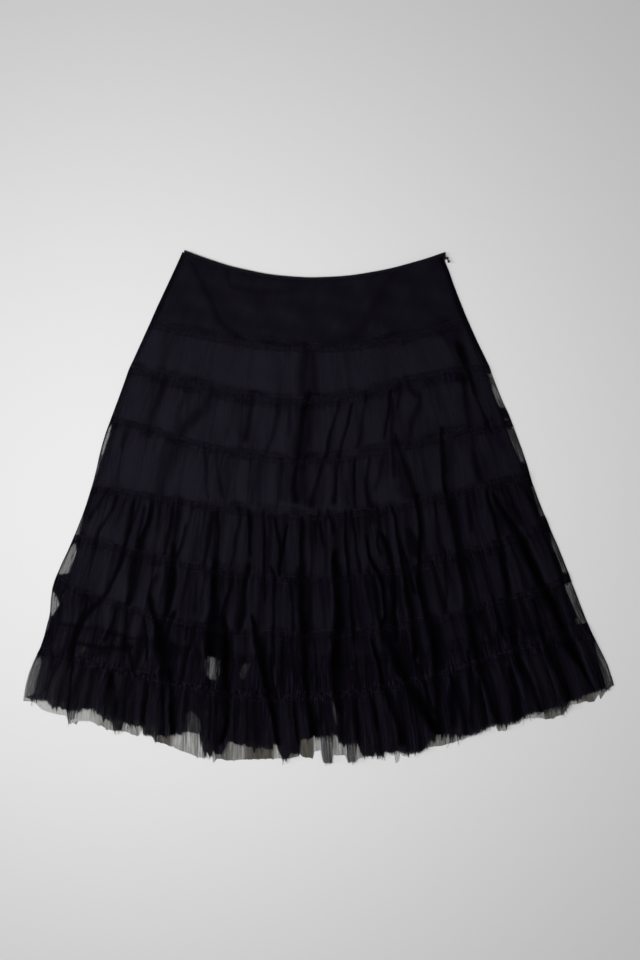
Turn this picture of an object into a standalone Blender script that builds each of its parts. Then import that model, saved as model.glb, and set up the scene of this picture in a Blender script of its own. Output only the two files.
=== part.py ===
"""A tiered tulle skirt laid flat on its back, front up: a plain hip yoke, seven gathered tiers of tulle, an opaque
underskirt between front and back, a narrow waist binding, and a concealed zip in the side seam at +X.

The waist points to +Y and the layers are stacked in +Z: back tulle on the surface, back of the underskirt, front of
the underskirt, front tulle. Sizes are in millimetres here and become metres where a mesh is made. The origin is under
the middle of the whole garment, at the level it lies on."""

import math
import random
from collections import namedtuple

import bmesh
import bpy

MM = 0.001

# The layers, from the surface up. Cloth is drawn as a wall, with a gap of GAP between one layer and the next.
GAP = 0.3
BACK_WALL = 1.2
LINING_WALL = 1.0
FRONT_WALL = 1.4
LINING_BACK_Z = BACK_WALL + GAP
LINING_FRONT_Z = LINING_BACK_Z + LINING_WALL + GAP
FRONT_ON_LINING_Z = LINING_FRONT_Z + LINING_WALL + GAP
FRONT_ON_BACK_Z = BACK_WALL + GAP
SEAM_GAP = 0.4  # between the edges of two tiers, measured up the skirt

# The waist binding and the zip.
BINDING_WIDTH = 4.0
ZIP_TAPE_WIDTH = 2.1
SLIDER_SIZE = (1.0, 4.4, 3.6)
ZIP_AXIS = (179.6, 348.6)  # where the pull tab turns on the slider
PULL_ANGLE = -68.0  # the way the tab points at rest, in degrees from +X
PULL_REACH = 5.1  # from the axis to the middle of the drop

# Lines across the skirt. Each runs from the left side to the right side, through its height at each quarter of its
# width. inset_left and inset_right say how far inside the tulle the underskirt's edge is, lift is how high the front
# tulle stands off what is under it, and cut_right is how far short of the line's end the cloth stops.
Line = namedtuple(
    "Line",
    "x_left y_left y_quarter y_middle y_three_quarters y_right x_right inset_left inset_right lift cut_right",
    defaults=(0.0,),
)
LINES = {
    "waist": Line(-189.0, 360.0, 331.0, 321.5, 331.0, 357.0, 176.4, 4.0, 4.0, 0.3),
    "placket": Line(-194.4, 348.0, 319.5, 310.0, 320.0, 346.0, 176.4, 4.0, 4.0, 0.3),
    "yoke_seam": Line(-234.0, 259.0, 236.0, 225.0, 235.0, 265.0, 204.0, 5.0, 5.0, 0.6),
    "seam_2": Line(-266.0, 196.0, 166.0, 153.0, 179.0, 197.0, 235.0, 5.0, 5.0, 1.2),
    "seam_3": Line(-288.0, 127.0, 89.0, 68.5, 91.0, 122.0, 263.0, 6.0, 6.0, 1.5),
    "seam_4": Line(-316.0, 28.0, 7.0, -10.0, 12.0, 49.0, 294.0, 7.0, 8.0, 1.9),
    "seam_5": Line(-340.0, -38.0, -78.0, -98.0, -75.0, -17.0, 318.0, 8.0, 12.0, 2.4),
    "seam_6": Line(-368.0, -99.0, -157.0, -175.0, -150.0, -95.0, 351.0, 17.0, 14.0, 2.8),
    "lining_hem": Line(-381.5, -165.0, -201.0, -218.0, -196.0, -156.0, 376.0, 12.0, 14.0, 2.8),
    "seam_7": Line(-388.0, -197.0, -245.0, -264.0, -222.0, -169.0, 381.0, 12.0, 14.0, 2.8),
    "front_hem": Line(-407.0, -255.0, -313.0, -338.0, -316.0, -249.0, 406.0, 12.0, 14.0, 3.2),
    "back_hem": Line(-413.0, -269.0, -331.0, -354.0, -325.0, -249.0, 413.0, 12.0, 14.0, 0.0),
}
LINE_STEPS = 24  # every line across is made of this many straight stretches

# The tiers of tulle. gathers is how many waves the front has across it, height is how far a wave stands up, and bulge
# is how far its sides swing out between its seams.
Tier = namedtuple("Tier", "top bottom gathers height bulge")
TIERS = [
    Tier("yoke_seam", "seam_2", 10, 1.0, 0.0),
    Tier("seam_2", "seam_3", 16, 2.0, 0.0),
    Tier("seam_3", "seam_4", 20, 2.2, 0.0),
    Tier("seam_4", "seam_5", 26, 3.6, 0.0),
    Tier("seam_5", "seam_6", 28, 4.0, 2.5),
    Tier("seam_6", "seam_7", 30, 4.4, 1.5),
    Tier("seam_7", "front_hem", 38, 5.0, 4.0),
]
BAND = 10.0  # the gathered heading below each seam
GATHER_AT_SEAM = 0.25  # the height of a wave at a seam, as a share of its full height
GATHER_UNDER_BAND = 0.5
GATHER_AT_HEM = 1.25
BACK_HEM_WAVES = 24  # the ragged tips of the back's hem, which shows below the front's
BACK_TIP = 3.0
HEM_DEPTH = -360.0  # the lowest point of the back's hem
FRONT_TIP = 4.0  # how far the front's ragged hem swings up and down

# The large folds of the front. Each runs down through three points, and height is how far it rises above the cloth
# beside it, or sinks where it is negative.
Fold = namedtuple("Fold", "top_x top_y mid_x mid_y low_x low_y half_width height")
FOLDS = {
    "centre_furrow": Fold(-20, 216, -27, 80, -22, -30, 8.0, -1.8),
    "centre_ridge": Fold(-53, 216, -44, 120, -39, 15, 11.0, 1.4),
    "left_hip": Fold(-151, 160, -195, 101, -224, 21, 11.0, -1.4),
    "left_side": Fold(-217, 179, -230, 145, -241, 111, 9.0, -1.2),
    "right_crease": Fold(150, 242, 166, 222, 181, 196, 7.0, 0.9),
    "right_hip": Fold(189, 227, 206, 154, 216, 60, 8.0, -1.6),
    "right_side": Fold(206, 196, 228, 150, 245, 100, 8.0, -1.4),
    "a": Fold(-283, 13, -297, -10, -309, -34, 9.0, -2.0),
    "b": Fold(-239, -6, -300, -112, -344, -223, 9.0, -2.6),
    "c": Fold(-234, -14, -245, -55, -256, -98, 8.0, -2.2),
    "d": Fold(-204, -74, -221, -175, -204, -309, 10.0, -2.6),
    "e": Fold(-144, -20, -150, -120, -153, -202, 9.0, -2.2),
    "f": Fold(-126, -164, -128, -240, -129, -330, 9.0, -2.6),
    "g": Fold(-88, -164, -74, -250, -60, -340, 9.0, -2.6),
    "h": Fold(-22, -6, -22, -179, -8, -330, 10.0, -2.6),
    "j": Fold(22, -106, 24, -190, 25, -290, 14.0, -2.2),
    "k": Fold(137, 10, 145, -55, 150, -120, 9.0, -2.2),
    "l": Fold(183, 15, 206, -110, 245, -288, 10.0, -2.6),
    "m": Fold(239, 10, 264, -110, 308, -288, 9.0, -2.6),
    "n": Fold(265, -34, 322, -130, 378, -245, 9.0, -2.4),
    "o": Fold(74, -164, 94, -245, 115, -330, 9.0, -2.4),
    "p": Fold(115, -77, 138, -190, 167, -315, 10.0, -2.4),
    "left_swell": Fold(-180, -60, -186, -170, -172, -310, 16.0, 2.6),
    "middle_swell": Fold(62, -60, 60, -190, 60, -320, 20.0, 2.2),
    "right_swell": Fold(210, -80, 240, -190, 276, -290, 15.0, 2.4),
}
FOLD_FADE = 30.0  # a fold takes this much of its length to die away past either end
EDGE_FADE = 28.0  # near the sides the front comes down on the back over this distance
EDGE_SHARE = 0.25


def mixed(first, second, share):
    """The line that lies at this share of the way from one line to another."""
    return Line(*(a + (b - a) * share for a, b in zip(first, second)))


def moved_up(line, distance):
    """The same line, this much further up the skirt."""
    heights = "y_left y_quarter y_middle y_three_quarters y_right".split()
    return line._replace(**{name: getattr(line, name) + distance for name in heights})


def quartic(line, t):
    """The smooth curve through the five heights of a line, at the share t of its width."""
    knots = (0.0, 0.25, 0.5, 0.75, 1.0)
    total = 0.0
    for i, height in enumerate(line[1:6]):
        weight = math.prod((t - knots[j]) / (knots[i] - knots[j]) for j in range(5) if j != i)
        total += weight * height
    return total


def height_on(line, x):
    """Where the line is at x, on its straight stretches."""
    t = (x - line.x_left) / (line.x_right - line.x_left) * LINE_STEPS
    step = min(max(math.floor(t), 0), LINE_STEPS - 1)
    low, high = quartic(line, step / LINE_STEPS), quartic(line, (step + 1) / LINE_STEPS)
    return low + (high - low) * (t - step)


def fold_relief(x, y):
    """The sum of the large folds at a place on the front."""
    total = 0.0
    for fold in FOLDS.values():
        span = fold.top_y - fold.low_y
        down = (fold.top_y - y) / span
        bend = fold.mid_x - (fold.top_x + fold.low_x) / 2
        centre = fold.top_x + (fold.low_x - fold.top_x) * down + 4 * bend * down * (1 - down)
        past_end = max(y - fold.top_y, fold.low_y - y, 0.0)
        if past_end < FOLD_FADE and abs(x - centre) < 3 * fold.half_width:
            across = math.exp(-(((x - centre) / fold.half_width) ** 2))
            total += fold.height * across * math.cos(past_end / FOLD_FADE * math.pi / 2) ** 2
    return total


def relief(line, x, y):
    """How high the front tulle stands off what is under it, before its gathers."""
    inside = min(x - line.x_left, line.x_right - x) / EDGE_FADE
    share = EDGE_SHARE + (1 - EDGE_SHARE) * min(max(inside, 0.0), 1.0)
    return max(0.0, (line.lift + fold_relief(x, y)) * share)


def gathers(count, seed):
    """Waves side by side, uneven in width and height, as four stations a wave: the share of the width at which each
    station is, and its height from 0 in a trough to about 1 on a crest."""
    chance = random.Random(seed)
    widths = [chance.uniform(0.72, 1.28) for _ in range(count)]
    crests = [chance.uniform(0.6, 1.15) for _ in range(count)]
    stations, start = [(0.0, 0.0)], 0.0
    for width, crest in zip(widths, crests):
        for quarter in (1, 2, 3, 4):
            rise = (1 - math.cos(quarter * math.pi / 2)) / 2
            stations.append(((start + width * quarter / 4) / sum(widths), rise * crest))
        start += width
    return stations


def wall(name, rows, thickness, material):
    """A closed wall: a sheet of triangles through rows of points, with its copy above it."""
    mesh = bmesh.new()
    grid = [[mesh.verts.new((x * MM, y * MM, z * MM)) for x, y, z in row] for row in rows]
    for upper, lower in zip(grid, grid[1:]):
        for a, b, c, d in zip(upper, upper[1:], lower[1:], lower):
            mesh.faces.new((a, b, c))
            mesh.faces.new((a, c, d))
    top = bmesh.ops.extrude_face_region(mesh, geom=mesh.faces[:], use_keep_orig=True)
    raised = [part for part in top["geom"] if isinstance(part, bmesh.types.BMVert)]
    bmesh.ops.translate(mesh, verts=raised, vec=(0, 0, thickness * MM))
    bmesh.ops.recalc_face_normals(mesh, faces=mesh.faces[:])
    data = bpy.data.meshes.new(name)
    mesh.to_mesh(data)
    mesh.free()
    data.materials.append(material)
    piece = bpy.data.objects.new(name, data)
    bpy.context.scene.collection.objects.link(piece)
    return piece


def finish(name, colour, roughness, metallic=0.0):
    material = bpy.data.materials.new(name)
    material.use_nodes = True
    shader = material.node_tree.nodes["Principled BSDF"]
    shader.inputs["Base Color"].default_value = (*colour, 1)
    shader.inputs["Roughness"].default_value = roughness
    shader.inputs["Metallic"].default_value = metallic
    return material


def plate(name, lines, bottom, thickness, material, inset=False):
    """A flat panel between its lines, whole or as far in as the underskirt's edge."""
    rows = []
    for line in lines:
        left = line.x_left + (line.inset_left if inset else 0)
        right = line.x_right - line.cut_right - (line.inset_right if inset else 0)
        places = [left + (right - left) * step / LINE_STEPS for step in range(LINE_STEPS + 1)]
        rows.append([(x, height_on(line, x), bottom) for x in places])
    return wall(name, rows, thickness, material)


def front_row(line, stations, gather, lined=True):
    """One row of points across the front, underside of the cloth. Where it is lined, the cloth lies on the underskirt
    and comes down past its two edges."""
    left = line.x_left + line.inset_left - GAP * 2
    edge = line.x_right - line.cut_right
    right = edge - line.inset_right + GAP * 2
    ramp = FRONT_ON_LINING_Z - FRONT_ON_BACK_Z
    places = [(line.x_left, 0.0), ((line.x_left + left) / 2, 0.0)]
    places += [(left + (right - left) * share, rise) for share, rise in stations]
    places += [((edge + right) / 2, 0.0), (edge, 0.0)]
    row = []
    for x, rise in places:
        y = height_on(line, x)
        outside = max(left - x, x - right, 0.0)
        base = FRONT_ON_LINING_Z - min(ramp, outside * ramp / 3.4) if lined else FRONT_ON_BACK_Z
        row.append((x, y, base + relief(line, x, y) + rise * gather))
    return row


def ruffle_row(line, stations, gather, swing=0.0, drops=None):
    """One row of points across the bottom ruffle, which has no underskirt under it. swing moves its two ends out."""
    row = []
    for index, (share, rise) in enumerate(stations):
        x = line.x_left + (line.x_right - line.x_left) * share
        y = height_on(line, x) + (drops[index] if drops else 0.0)
        z = FRONT_ON_BACK_Z + relief(line, x, y) + rise * gather
        row.append((x + swing * (2 * share - 1) ** 9, y, z))
    return row


def tier_rows(tier, number):
    """The rows of one front tier: its seam, the foot of its gathered heading, its middle and its lower edge."""
    stations = gathers(tier.gathers, seed=number)
    top, bottom = FRONT[tier.top], FRONT[tier.bottom]
    foot = BAND / (top.y_middle - bottom.y_middle)
    heading = mixed(top, bottom, foot)
    middle = mixed(top, bottom, 0.55)
    top, bottom = moved_up(top, -SEAM_GAP / 2), moved_up(bottom, SEAM_GAP / 2)
    heights = [tier.height * share for share in (GATHER_AT_SEAM, GATHER_UNDER_BAND, 1.0)]
    if tier.bottom == "front_hem":
        chance = random.Random(number)
        drops = [chance.uniform(-FRONT_TIP, FRONT_TIP) for _ in stations]
        return [
            ruffle_row(top, stations, heights[0]),
            ruffle_row(heading, stations, heights[1], swing=tier.bulge / 2),
            ruffle_row(middle, stations, heights[2], swing=tier.bulge),
            ruffle_row(bottom, stations, tier.height * GATHER_AT_HEM, drops=drops),
        ]
    rows = [front_row(top, stations, heights[0]), front_row(heading, stations, heights[1])]
    if tier.bottom == "seam_7":
        past_lining = moved_up(FRONT["lining_hem"], -2 * GAP)
        rows.append(front_row(past_lining, stations, heights[2]))
        rows.append(front_row(moved_up(past_lining, -4.0), stations, heights[2], lined=False))
        rows.append(front_row(bottom, stations, heights[0], lined=False))
    else:
        rows.append(front_row(middle, stations, heights[2]))
        rows.append(front_row(bottom, stations, heights[0]))
    for row in rows[1:-1]:
        row[0] = (row[0][0] - tier.bulge, *row[0][1:])
        row[-1] = (row[-1][0] + tier.bulge, *row[-1][1:])
    return rows


def back_hem_rows(top, bottom):
    """The bottom ruffle's back: flat, with ragged tips along its hem, none longer than HEM_DEPTH."""
    chance = random.Random(BACK_HEM_WAVES)
    count = 4 * BACK_HEM_WAVES
    upper, lower = [], []
    for step in range(count + 1):
        share = step / count
        x = top.x_left + (top.x_right - top.x_left) * share
        upper.append((x, height_on(top, x), 0.0))
        x = bottom.x_left + (bottom.x_right - bottom.x_left) * share
        tip = BACK_TIP * (math.sin(step * math.pi / 2) + chance.uniform(-1.7, 1.3))
        tip *= min(1.0, 6 * share, 6 * (1 - share))
        lower.append((x, max(HEM_DEPTH, height_on(bottom, x) + tip), 0.0))
    return [upper, lower]


def combine(target, other, operation):
    """Joins another solid to this one, or cuts it away."""
    modifier = target.modifiers.new(operation.title(), "BOOLEAN")
    modifier.operation = operation
    modifier.object = other
    other.hide_render = True
    other.display_type = "WIRE"


def box(name, size, centre):
    bpy.ops.mesh.primitive_cube_add(size=1, location=[c * MM for c in centre], scale=[s * MM for s in size])
    bpy.context.object.name = name
    bpy.ops.object.transform_apply(location=False, rotation=False, scale=True)
    return bpy.context.object


def cylinder(name, radius, height, centre, sides=20):
    bpy.ops.mesh.primitive_cylinder_add(
        vertices=sides, radius=radius * MM, depth=height * MM, location=[c * MM for c in centre]
    )
    bpy.context.object.name = name
    return bpy.context.object


def make_slider(material):
    """The slider's bridge, outside the seam: a block with two lugs that hold an upright pin."""
    middle = (LINING_FRONT_Z + LINING_BACK_Z + LINING_WALL) / 2
    x, y = ZIP_AXIS
    edge = LINES["placket"].x_right + GAP
    slider = box("zip_slider", SLIDER_SIZE, (edge + SLIDER_SIZE[0] / 2, y, middle))
    length = x + 0.6 - edge
    for name, side in (("slider_lug_upper", 1), ("slider_lug_lower", -1)):
        lug = box(name, (length - 0.2, 1.4, 0.5), (edge + 0.2 + length / 2, y, middle + side * 1.35))
        combine(slider, lug, "UNION")
    combine(slider, cylinder("slider_pin", 0.45, 2.9, (x, y, middle), sides=16), "UNION")
    slider.data.materials.append(material)
    return slider


def make_pull(material):
    """The pull tab: an eye round the slider's pin, a neck, and a drop at its end, turned about the pin."""
    middle = (LINING_FRONT_Z + LINING_BACK_Z + LINING_WALL) / 2
    pull = cylinder("zip_pull", 1.45, 1.5, (0, 0, 0), sides=24)
    bpy.ops.mesh.primitive_uv_sphere_add(segments=20, ring_count=12, radius=1.65 * MM, location=(PULL_REACH * MM, 0, 0))
    drop = bpy.context.object
    drop.name = "pull_drop"
    drop.scale = (1.15, 1.0, 1.2)
    bpy.ops.object.transform_apply(location=False, rotation=False, scale=True)
    neck = box("pull_neck", (3.2, 1.2, 1.2), (2.7, 0, 0))
    for part in (drop, neck):
        combine(pull, part, "UNION")
    combine(pull, cylinder("pull_hole", 0.8, 4.0, (0, 0, 0), sides=20), "DIFFERENCE")
    pull.data.materials.append(material)
    for part in (pull, *(modifier.object for modifier in pull.modifiers)):
        offset = part.location.copy()
        angle = math.radians(PULL_ANGLE)
        part.rotation_euler.z = angle
        part.location = (
            ZIP_AXIS[0] * MM + offset.x * math.cos(angle) - offset.y * math.sin(angle),
            ZIP_AXIS[1] * MM + offset.x * math.sin(angle) + offset.y * math.cos(angle),
            middle * MM,
        )
    return pull


for old in list(bpy.data.objects):
    bpy.data.objects.remove(old)

tulle = finish("black_tulle", (0.008, 0.0075, 0.011), 0.85)
lining_cloth = finish("black_lining", (0.007, 0.0062, 0.0095), 0.6)
binding_cloth = finish("black_binding", (0.006, 0.0055, 0.008), 0.7)
zip_metal = finish("painted_zip_metal", (0.012, 0.012, 0.014), 0.35, metallic=0.6)

# At the zip the front's edge stands back from the side seam, and the tape shows beside it.
BACK = LINES
FRONT = dict(LINES)
for opening in ("waist", "placket"):
    FRONT[opening] = LINES[opening]._replace(cut_right=ZIP_TAPE_WIDTH + GAP)

# Back: yoke and tiers, flat on the surface, with their edges parted at the seams.
back_tops = ["waist"] + [tier.top for tier in TIERS]
back_names = ["yoke_back"] + [f"tier_{number}_back" for number in range(1, 8)]
for name, top in zip(back_names[:-1], back_tops):
    upper = moved_up(BACK[top], -BINDING_WIDTH - GAP if top == "waist" else -SEAM_GAP / 2)
    lower = moved_up(BACK[back_tops[back_tops.index(top) + 1]], SEAM_GAP / 2)
    lines = [upper, BACK["placket"], lower] if top == "waist" else [upper, lower]
    plate(name, lines, 0.0, BACK_WALL, tulle)
wall("tier_7_back", back_hem_rows(moved_up(BACK["seam_7"], -SEAM_GAP / 2), BACK["back_hem"]), BACK_WALL, tulle)

# The underskirt, two flat panels between the tulle of the back and that of the front.
lining_lines = "placket yoke_seam seam_2 seam_3 seam_4 seam_5 seam_6 lining_hem".split()
for name, side, bottom in (("lining_back", BACK, LINING_BACK_Z), ("lining_front", FRONT, LINING_FRONT_Z)):
    lines = [moved_up(side["waist"], -BINDING_WIDTH - GAP)] + [side[line] for line in lining_lines]
    plate(name, lines, bottom, LINING_WALL, lining_cloth, inset=True)

# Front: the yoke lies nearly plain, and the tiers stand up in gathers and folds.
plain = [(step / LINE_STEPS, 0.0) for step in range(LINE_STEPS + 1)]
yoke_top, placket, yoke_foot = FRONT["waist"], FRONT["placket"], FRONT["yoke_seam"]
yoke_lines = [moved_up(yoke_top, -BINDING_WIDTH - GAP), placket]
yoke_lines += [mixed(placket, yoke_foot, share) for share in (0.33, 0.67)]
yoke_lines += [moved_up(yoke_foot, SEAM_GAP / 2)]
wall("yoke_front", [front_row(line, plain, 0.0) for line in yoke_lines], FRONT_WALL, tulle)
for number, tier in enumerate(TIERS, 1):
    wall(f"tier_{number}_front", tier_rows(tier, number), FRONT_WALL, tulle)

# The waist binding, folded over the edges of each pair of layers.
for name, side, bottom, top in (
    ("waist_binding_back", BACK, 0.0, LINING_BACK_Z + LINING_WALL),
    ("waist_binding_front", FRONT, LINING_FRONT_Z, FRONT_ON_LINING_Z + FRONT_WALL + 0.5),
):
    lines = [side["waist"], moved_up(side["waist"], -BINDING_WIDTH)]
    plate(name, lines, bottom, top - bottom, binding_cloth)

# The zip: the end of its tape beside the front's edge, the slider, and the pull tab that turns on it.
tape_length = LINES["waist"].y_right - LINES["placket"].y_right
tape_place = (
    LINES["placket"].x_right - ZIP_TAPE_WIDTH / 2,
    LINES["placket"].y_right + tape_length / 2,
    LINING_FRONT_Z + FRONT_WALL / 2,
)
tape = box("zip_tape", (ZIP_TAPE_WIDTH, tape_length, FRONT_WALL), tape_place)
tape.data.materials.append(binding_cloth)
make_slider(zip_metal)
make_pull(zip_metal)
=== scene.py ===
import math
import random
from collections import namedtuple

import bpy
import numpy as np
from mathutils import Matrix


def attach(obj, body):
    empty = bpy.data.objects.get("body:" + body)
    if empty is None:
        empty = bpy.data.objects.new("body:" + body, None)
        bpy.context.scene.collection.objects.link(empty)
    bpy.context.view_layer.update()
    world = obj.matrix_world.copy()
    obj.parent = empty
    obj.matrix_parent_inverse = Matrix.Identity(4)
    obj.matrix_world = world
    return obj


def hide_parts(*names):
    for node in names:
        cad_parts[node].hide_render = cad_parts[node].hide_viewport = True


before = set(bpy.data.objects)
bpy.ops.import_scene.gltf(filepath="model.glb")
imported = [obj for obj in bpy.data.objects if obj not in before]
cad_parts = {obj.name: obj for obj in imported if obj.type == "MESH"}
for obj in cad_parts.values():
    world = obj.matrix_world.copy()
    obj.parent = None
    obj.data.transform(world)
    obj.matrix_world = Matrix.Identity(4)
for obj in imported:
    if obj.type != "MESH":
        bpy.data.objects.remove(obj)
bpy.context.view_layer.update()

MM = 0.001

# ---- The view. A camera straight above the skirt, a soft lamp above it, a low light from the left, pale light from all
# round, and a plain pale floor that it lies on.
scene = bpy.context.scene
scene.view_settings.view_transform = "Standard"
VIEW_CENTRE = (0.0014, 0.0378)
VIEW_HEIGHT = 1.344  # of the floor, top to bottom
LENS, SENSOR = 50.0, 36.0
bpy.ops.object.camera_add(location=(*VIEW_CENTRE, 0.004 + VIEW_HEIGHT * LENS / SENSOR), rotation=(0, 0, 0))
camera = bpy.context.object
camera.data.lens = LENS
camera.data.sensor_width = SENSOR
scene.camera = camera

bpy.ops.object.light_add(type="AREA", location=(-0.3, 0.0, 1.2))
lamp = bpy.context.object
lamp.data.shape = "RECTANGLE"
lamp.data.size = 0.7
lamp.data.size_y = 0.35
lamp.data.energy = 13.4

bpy.ops.object.light_add(type="SUN", rotation=(0, math.radians(-60), 0))
window_light = bpy.context.object
window_light.data.energy = 1.2
window_light.data.angle = math.radians(20)

world = bpy.data.worlds.new("studio")
world.use_nodes = True
background = world.node_tree.nodes["Background"].inputs
background["Color"].default_value = (1.0, 1.0, 1.0, 1)
background["Strength"].default_value = 0.2
scene.world = world

bpy.ops.mesh.primitive_plane_add(size=9, location=(0, 0, 0))
floor = bpy.context.object
floor.name = "floor"
floor_paint = bpy.data.materials.new("pale_floor")
floor_paint.use_nodes = True
floor_shader = floor_paint.node_tree.nodes["Principled BSDF"]
floor_shader.inputs["Base Color"].default_value = (0.66, 0.66, 0.66, 1)
floor_shader.inputs["Roughness"].default_value = 0.9
floor_shader.inputs["Specular IOR Level"].default_value = 0.2
floor.data.materials.append(floor_paint)


# ---- The back of the skirt: eight pieces of fine soft net, a plain yoke and seven gathered tiers, sewn together along
# curved seams and lying flat under the rest. The lowest has a raw, ragged hem, which shows below the front's.
Line = namedtuple(
    "Line", "x_left y_left y_quarter y_middle y_three_quarters y_right x_right inset_left inset_right lift"
)
LINES = {
    "waist": Line(-189.0, 360.0, 331.0, 321.5, 331.0, 357.0, 176.4, 4.0, 9.5, 0.3),
    "yoke_seam": Line(-234.0, 259.0, 236.0, 225.0, 235.0, 265.0, 204.0, 5.0, 5.0, 0.6),
    "seam_2": Line(-266.0, 196.0, 166.0, 153.0, 179.0, 197.0, 235.0, 5.0, 5.0, 1.2),
    "seam_3": Line(-288.0, 127.0, 89.0, 68.5, 91.0, 122.0, 263.0, 6.0, 6.0, 1.5),
    "seam_4": Line(-316.0, 28.0, 7.0, -10.0, 12.0, 49.0, 294.0, 7.0, 8.0, 1.9),
    "seam_5": Line(-340.0, -38.0, -78.0, -98.0, -75.0, -17.0, 318.0, 8.0, 12.0, 2.4),
    "seam_6": Line(-368.0, -99.0, -157.0, -175.0, -150.0, -95.0, 351.0, 17.0, 14.0, 2.8),
    "lining_hem": Line(-381.5, -165.0, -201.0, -218.0, -196.0, -156.0, 376.0, 12.0, 14.0, 2.8),
    "seam_7": Line(-388.0, -197.0, -245.0, -264.0, -222.0, -169.0, 381.0, 12.0, 14.0, 2.8),
    "hem": Line(-407.0, -255.0, -313.0, -338.0, -316.0, -249.0, 406.0, 12.0, 14.0, 3.2),
    "back_hem": Line(-413.0, -269.0, -331.0, -354.0, -325.0, -249.0, 413.0, 12.0, 14.0, 0.0),
}
# A tier's gathers are the waves across it and their height, as the solid has them, and cut is how much wider than its
# lower edge it was cut. front_net and back_net say how many layers of net lie on each other at its left side, in its
# middle and at its right side.
Tier = namedtuple("Tier", "name top bottom waves height cut front_net back_net")
TIERS = [
    Tier("yoke", "waist", "yoke_seam", 0, 0.0, 1.0, (2.0, 2.1, 2.1), (2.0, 2.0, 2.0)),
    Tier("tier_1", "yoke_seam", "seam_2", 10, 1.0, 1.02, (1.1, 1.1, 1.35), (1.0, 1.2, 1.4)),
    Tier("tier_2", "seam_2", "seam_3", 16, 2.0, 1.1, (1.1, 1.15, 1.6), (1.0, 1.4, 1.6)),
    Tier("tier_3", "seam_3", "seam_4", 20, 2.2, 1.15, (1.05, 1.15, 1.6), (1.0, 1.5, 1.7)),
    Tier("tier_4", "seam_4", "seam_5", 26, 3.6, 1.25, (1.0, 1.7, 1.9), (0.9, 2.0, 1.5)),
    Tier("tier_5", "seam_5", "seam_6", 28, 4.0, 1.25, (1.3, 2.2, 2.15), (0.9, 2.2, 1.6)),
    Tier("tier_6", "seam_6", "seam_7", 30, 4.4, 1.3, (1.15, 2.45, 2.6), (0.9, 3.0, 1.8)),
    Tier("tier_7", "seam_7", "hem", 38, 5.0, 1.4, (6.3, 6.8, 6.2), (1.2, 2.4, 2.6)),
]
RUFFLE = len(TIERS) - 1  # the lowest, with the raw hem
# The skirt's edges, as the y and x of points up them.
LEFT_SIDE = (
    (-264.6, -414.5), (-247.8, -411.5), (-231, -406.8), (-214, -399.5), (-197.4, -391), (-180.6, -385.2),
    (-163.8, -381), (-155, -378.5), (-147, -377.2), (-130, -376.2), (-113.4, -373.8), (-105, -371.3), (-96.6, -368),
    (-79.8, -361), (-63, -353), (-46.2, -345.5), (-29.4, -338.8), (-12.6, -332), (4.2, -326.2), (21, -321),
    (37.8, -316), (54.6, -311.8), (71.4, -308.2), (88.2, -304), (105, -298.8), (121.8, -292.6), (138.6, -286.4),
    (155.4, -280), (172.2, -274), (189, -268), (205.8, -260.6), (231, -249.2), (256.2, -237.8), (281.4, -226.6),
    (306.6, -214.8), (331.8, -203), (357, -191.6), (360, -190.4),
)
RIGHT_SIDE = (
    (-248, 413.5), (-239, 411), (-221, 405), (-205.8, 397.6), (-186, 387.6), (-168, 378.6), (-145, 369.5),
    (-120, 360), (-98, 351.6), (-74, 342.6), (-55, 335), (-39.6, 328), (-11, 316), (12, 307), (36, 298.4),
    (60, 291.6), (79.8, 285), (96.6, 278.6), (113.4, 272.5), (130.2, 266), (138.6, 262), (147, 258), (163.8, 251.2),
    (180.6, 244.6), (197.4, 238.6), (214, 230.8), (231, 222.4), (247.8, 214.8), (264.6, 207.4), (281.4, 200.6),
    (298, 194), (315, 187.6), (331.8, 182), (340, 178.5), (345.7, 176.4), (360, 176.4),
)
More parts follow.
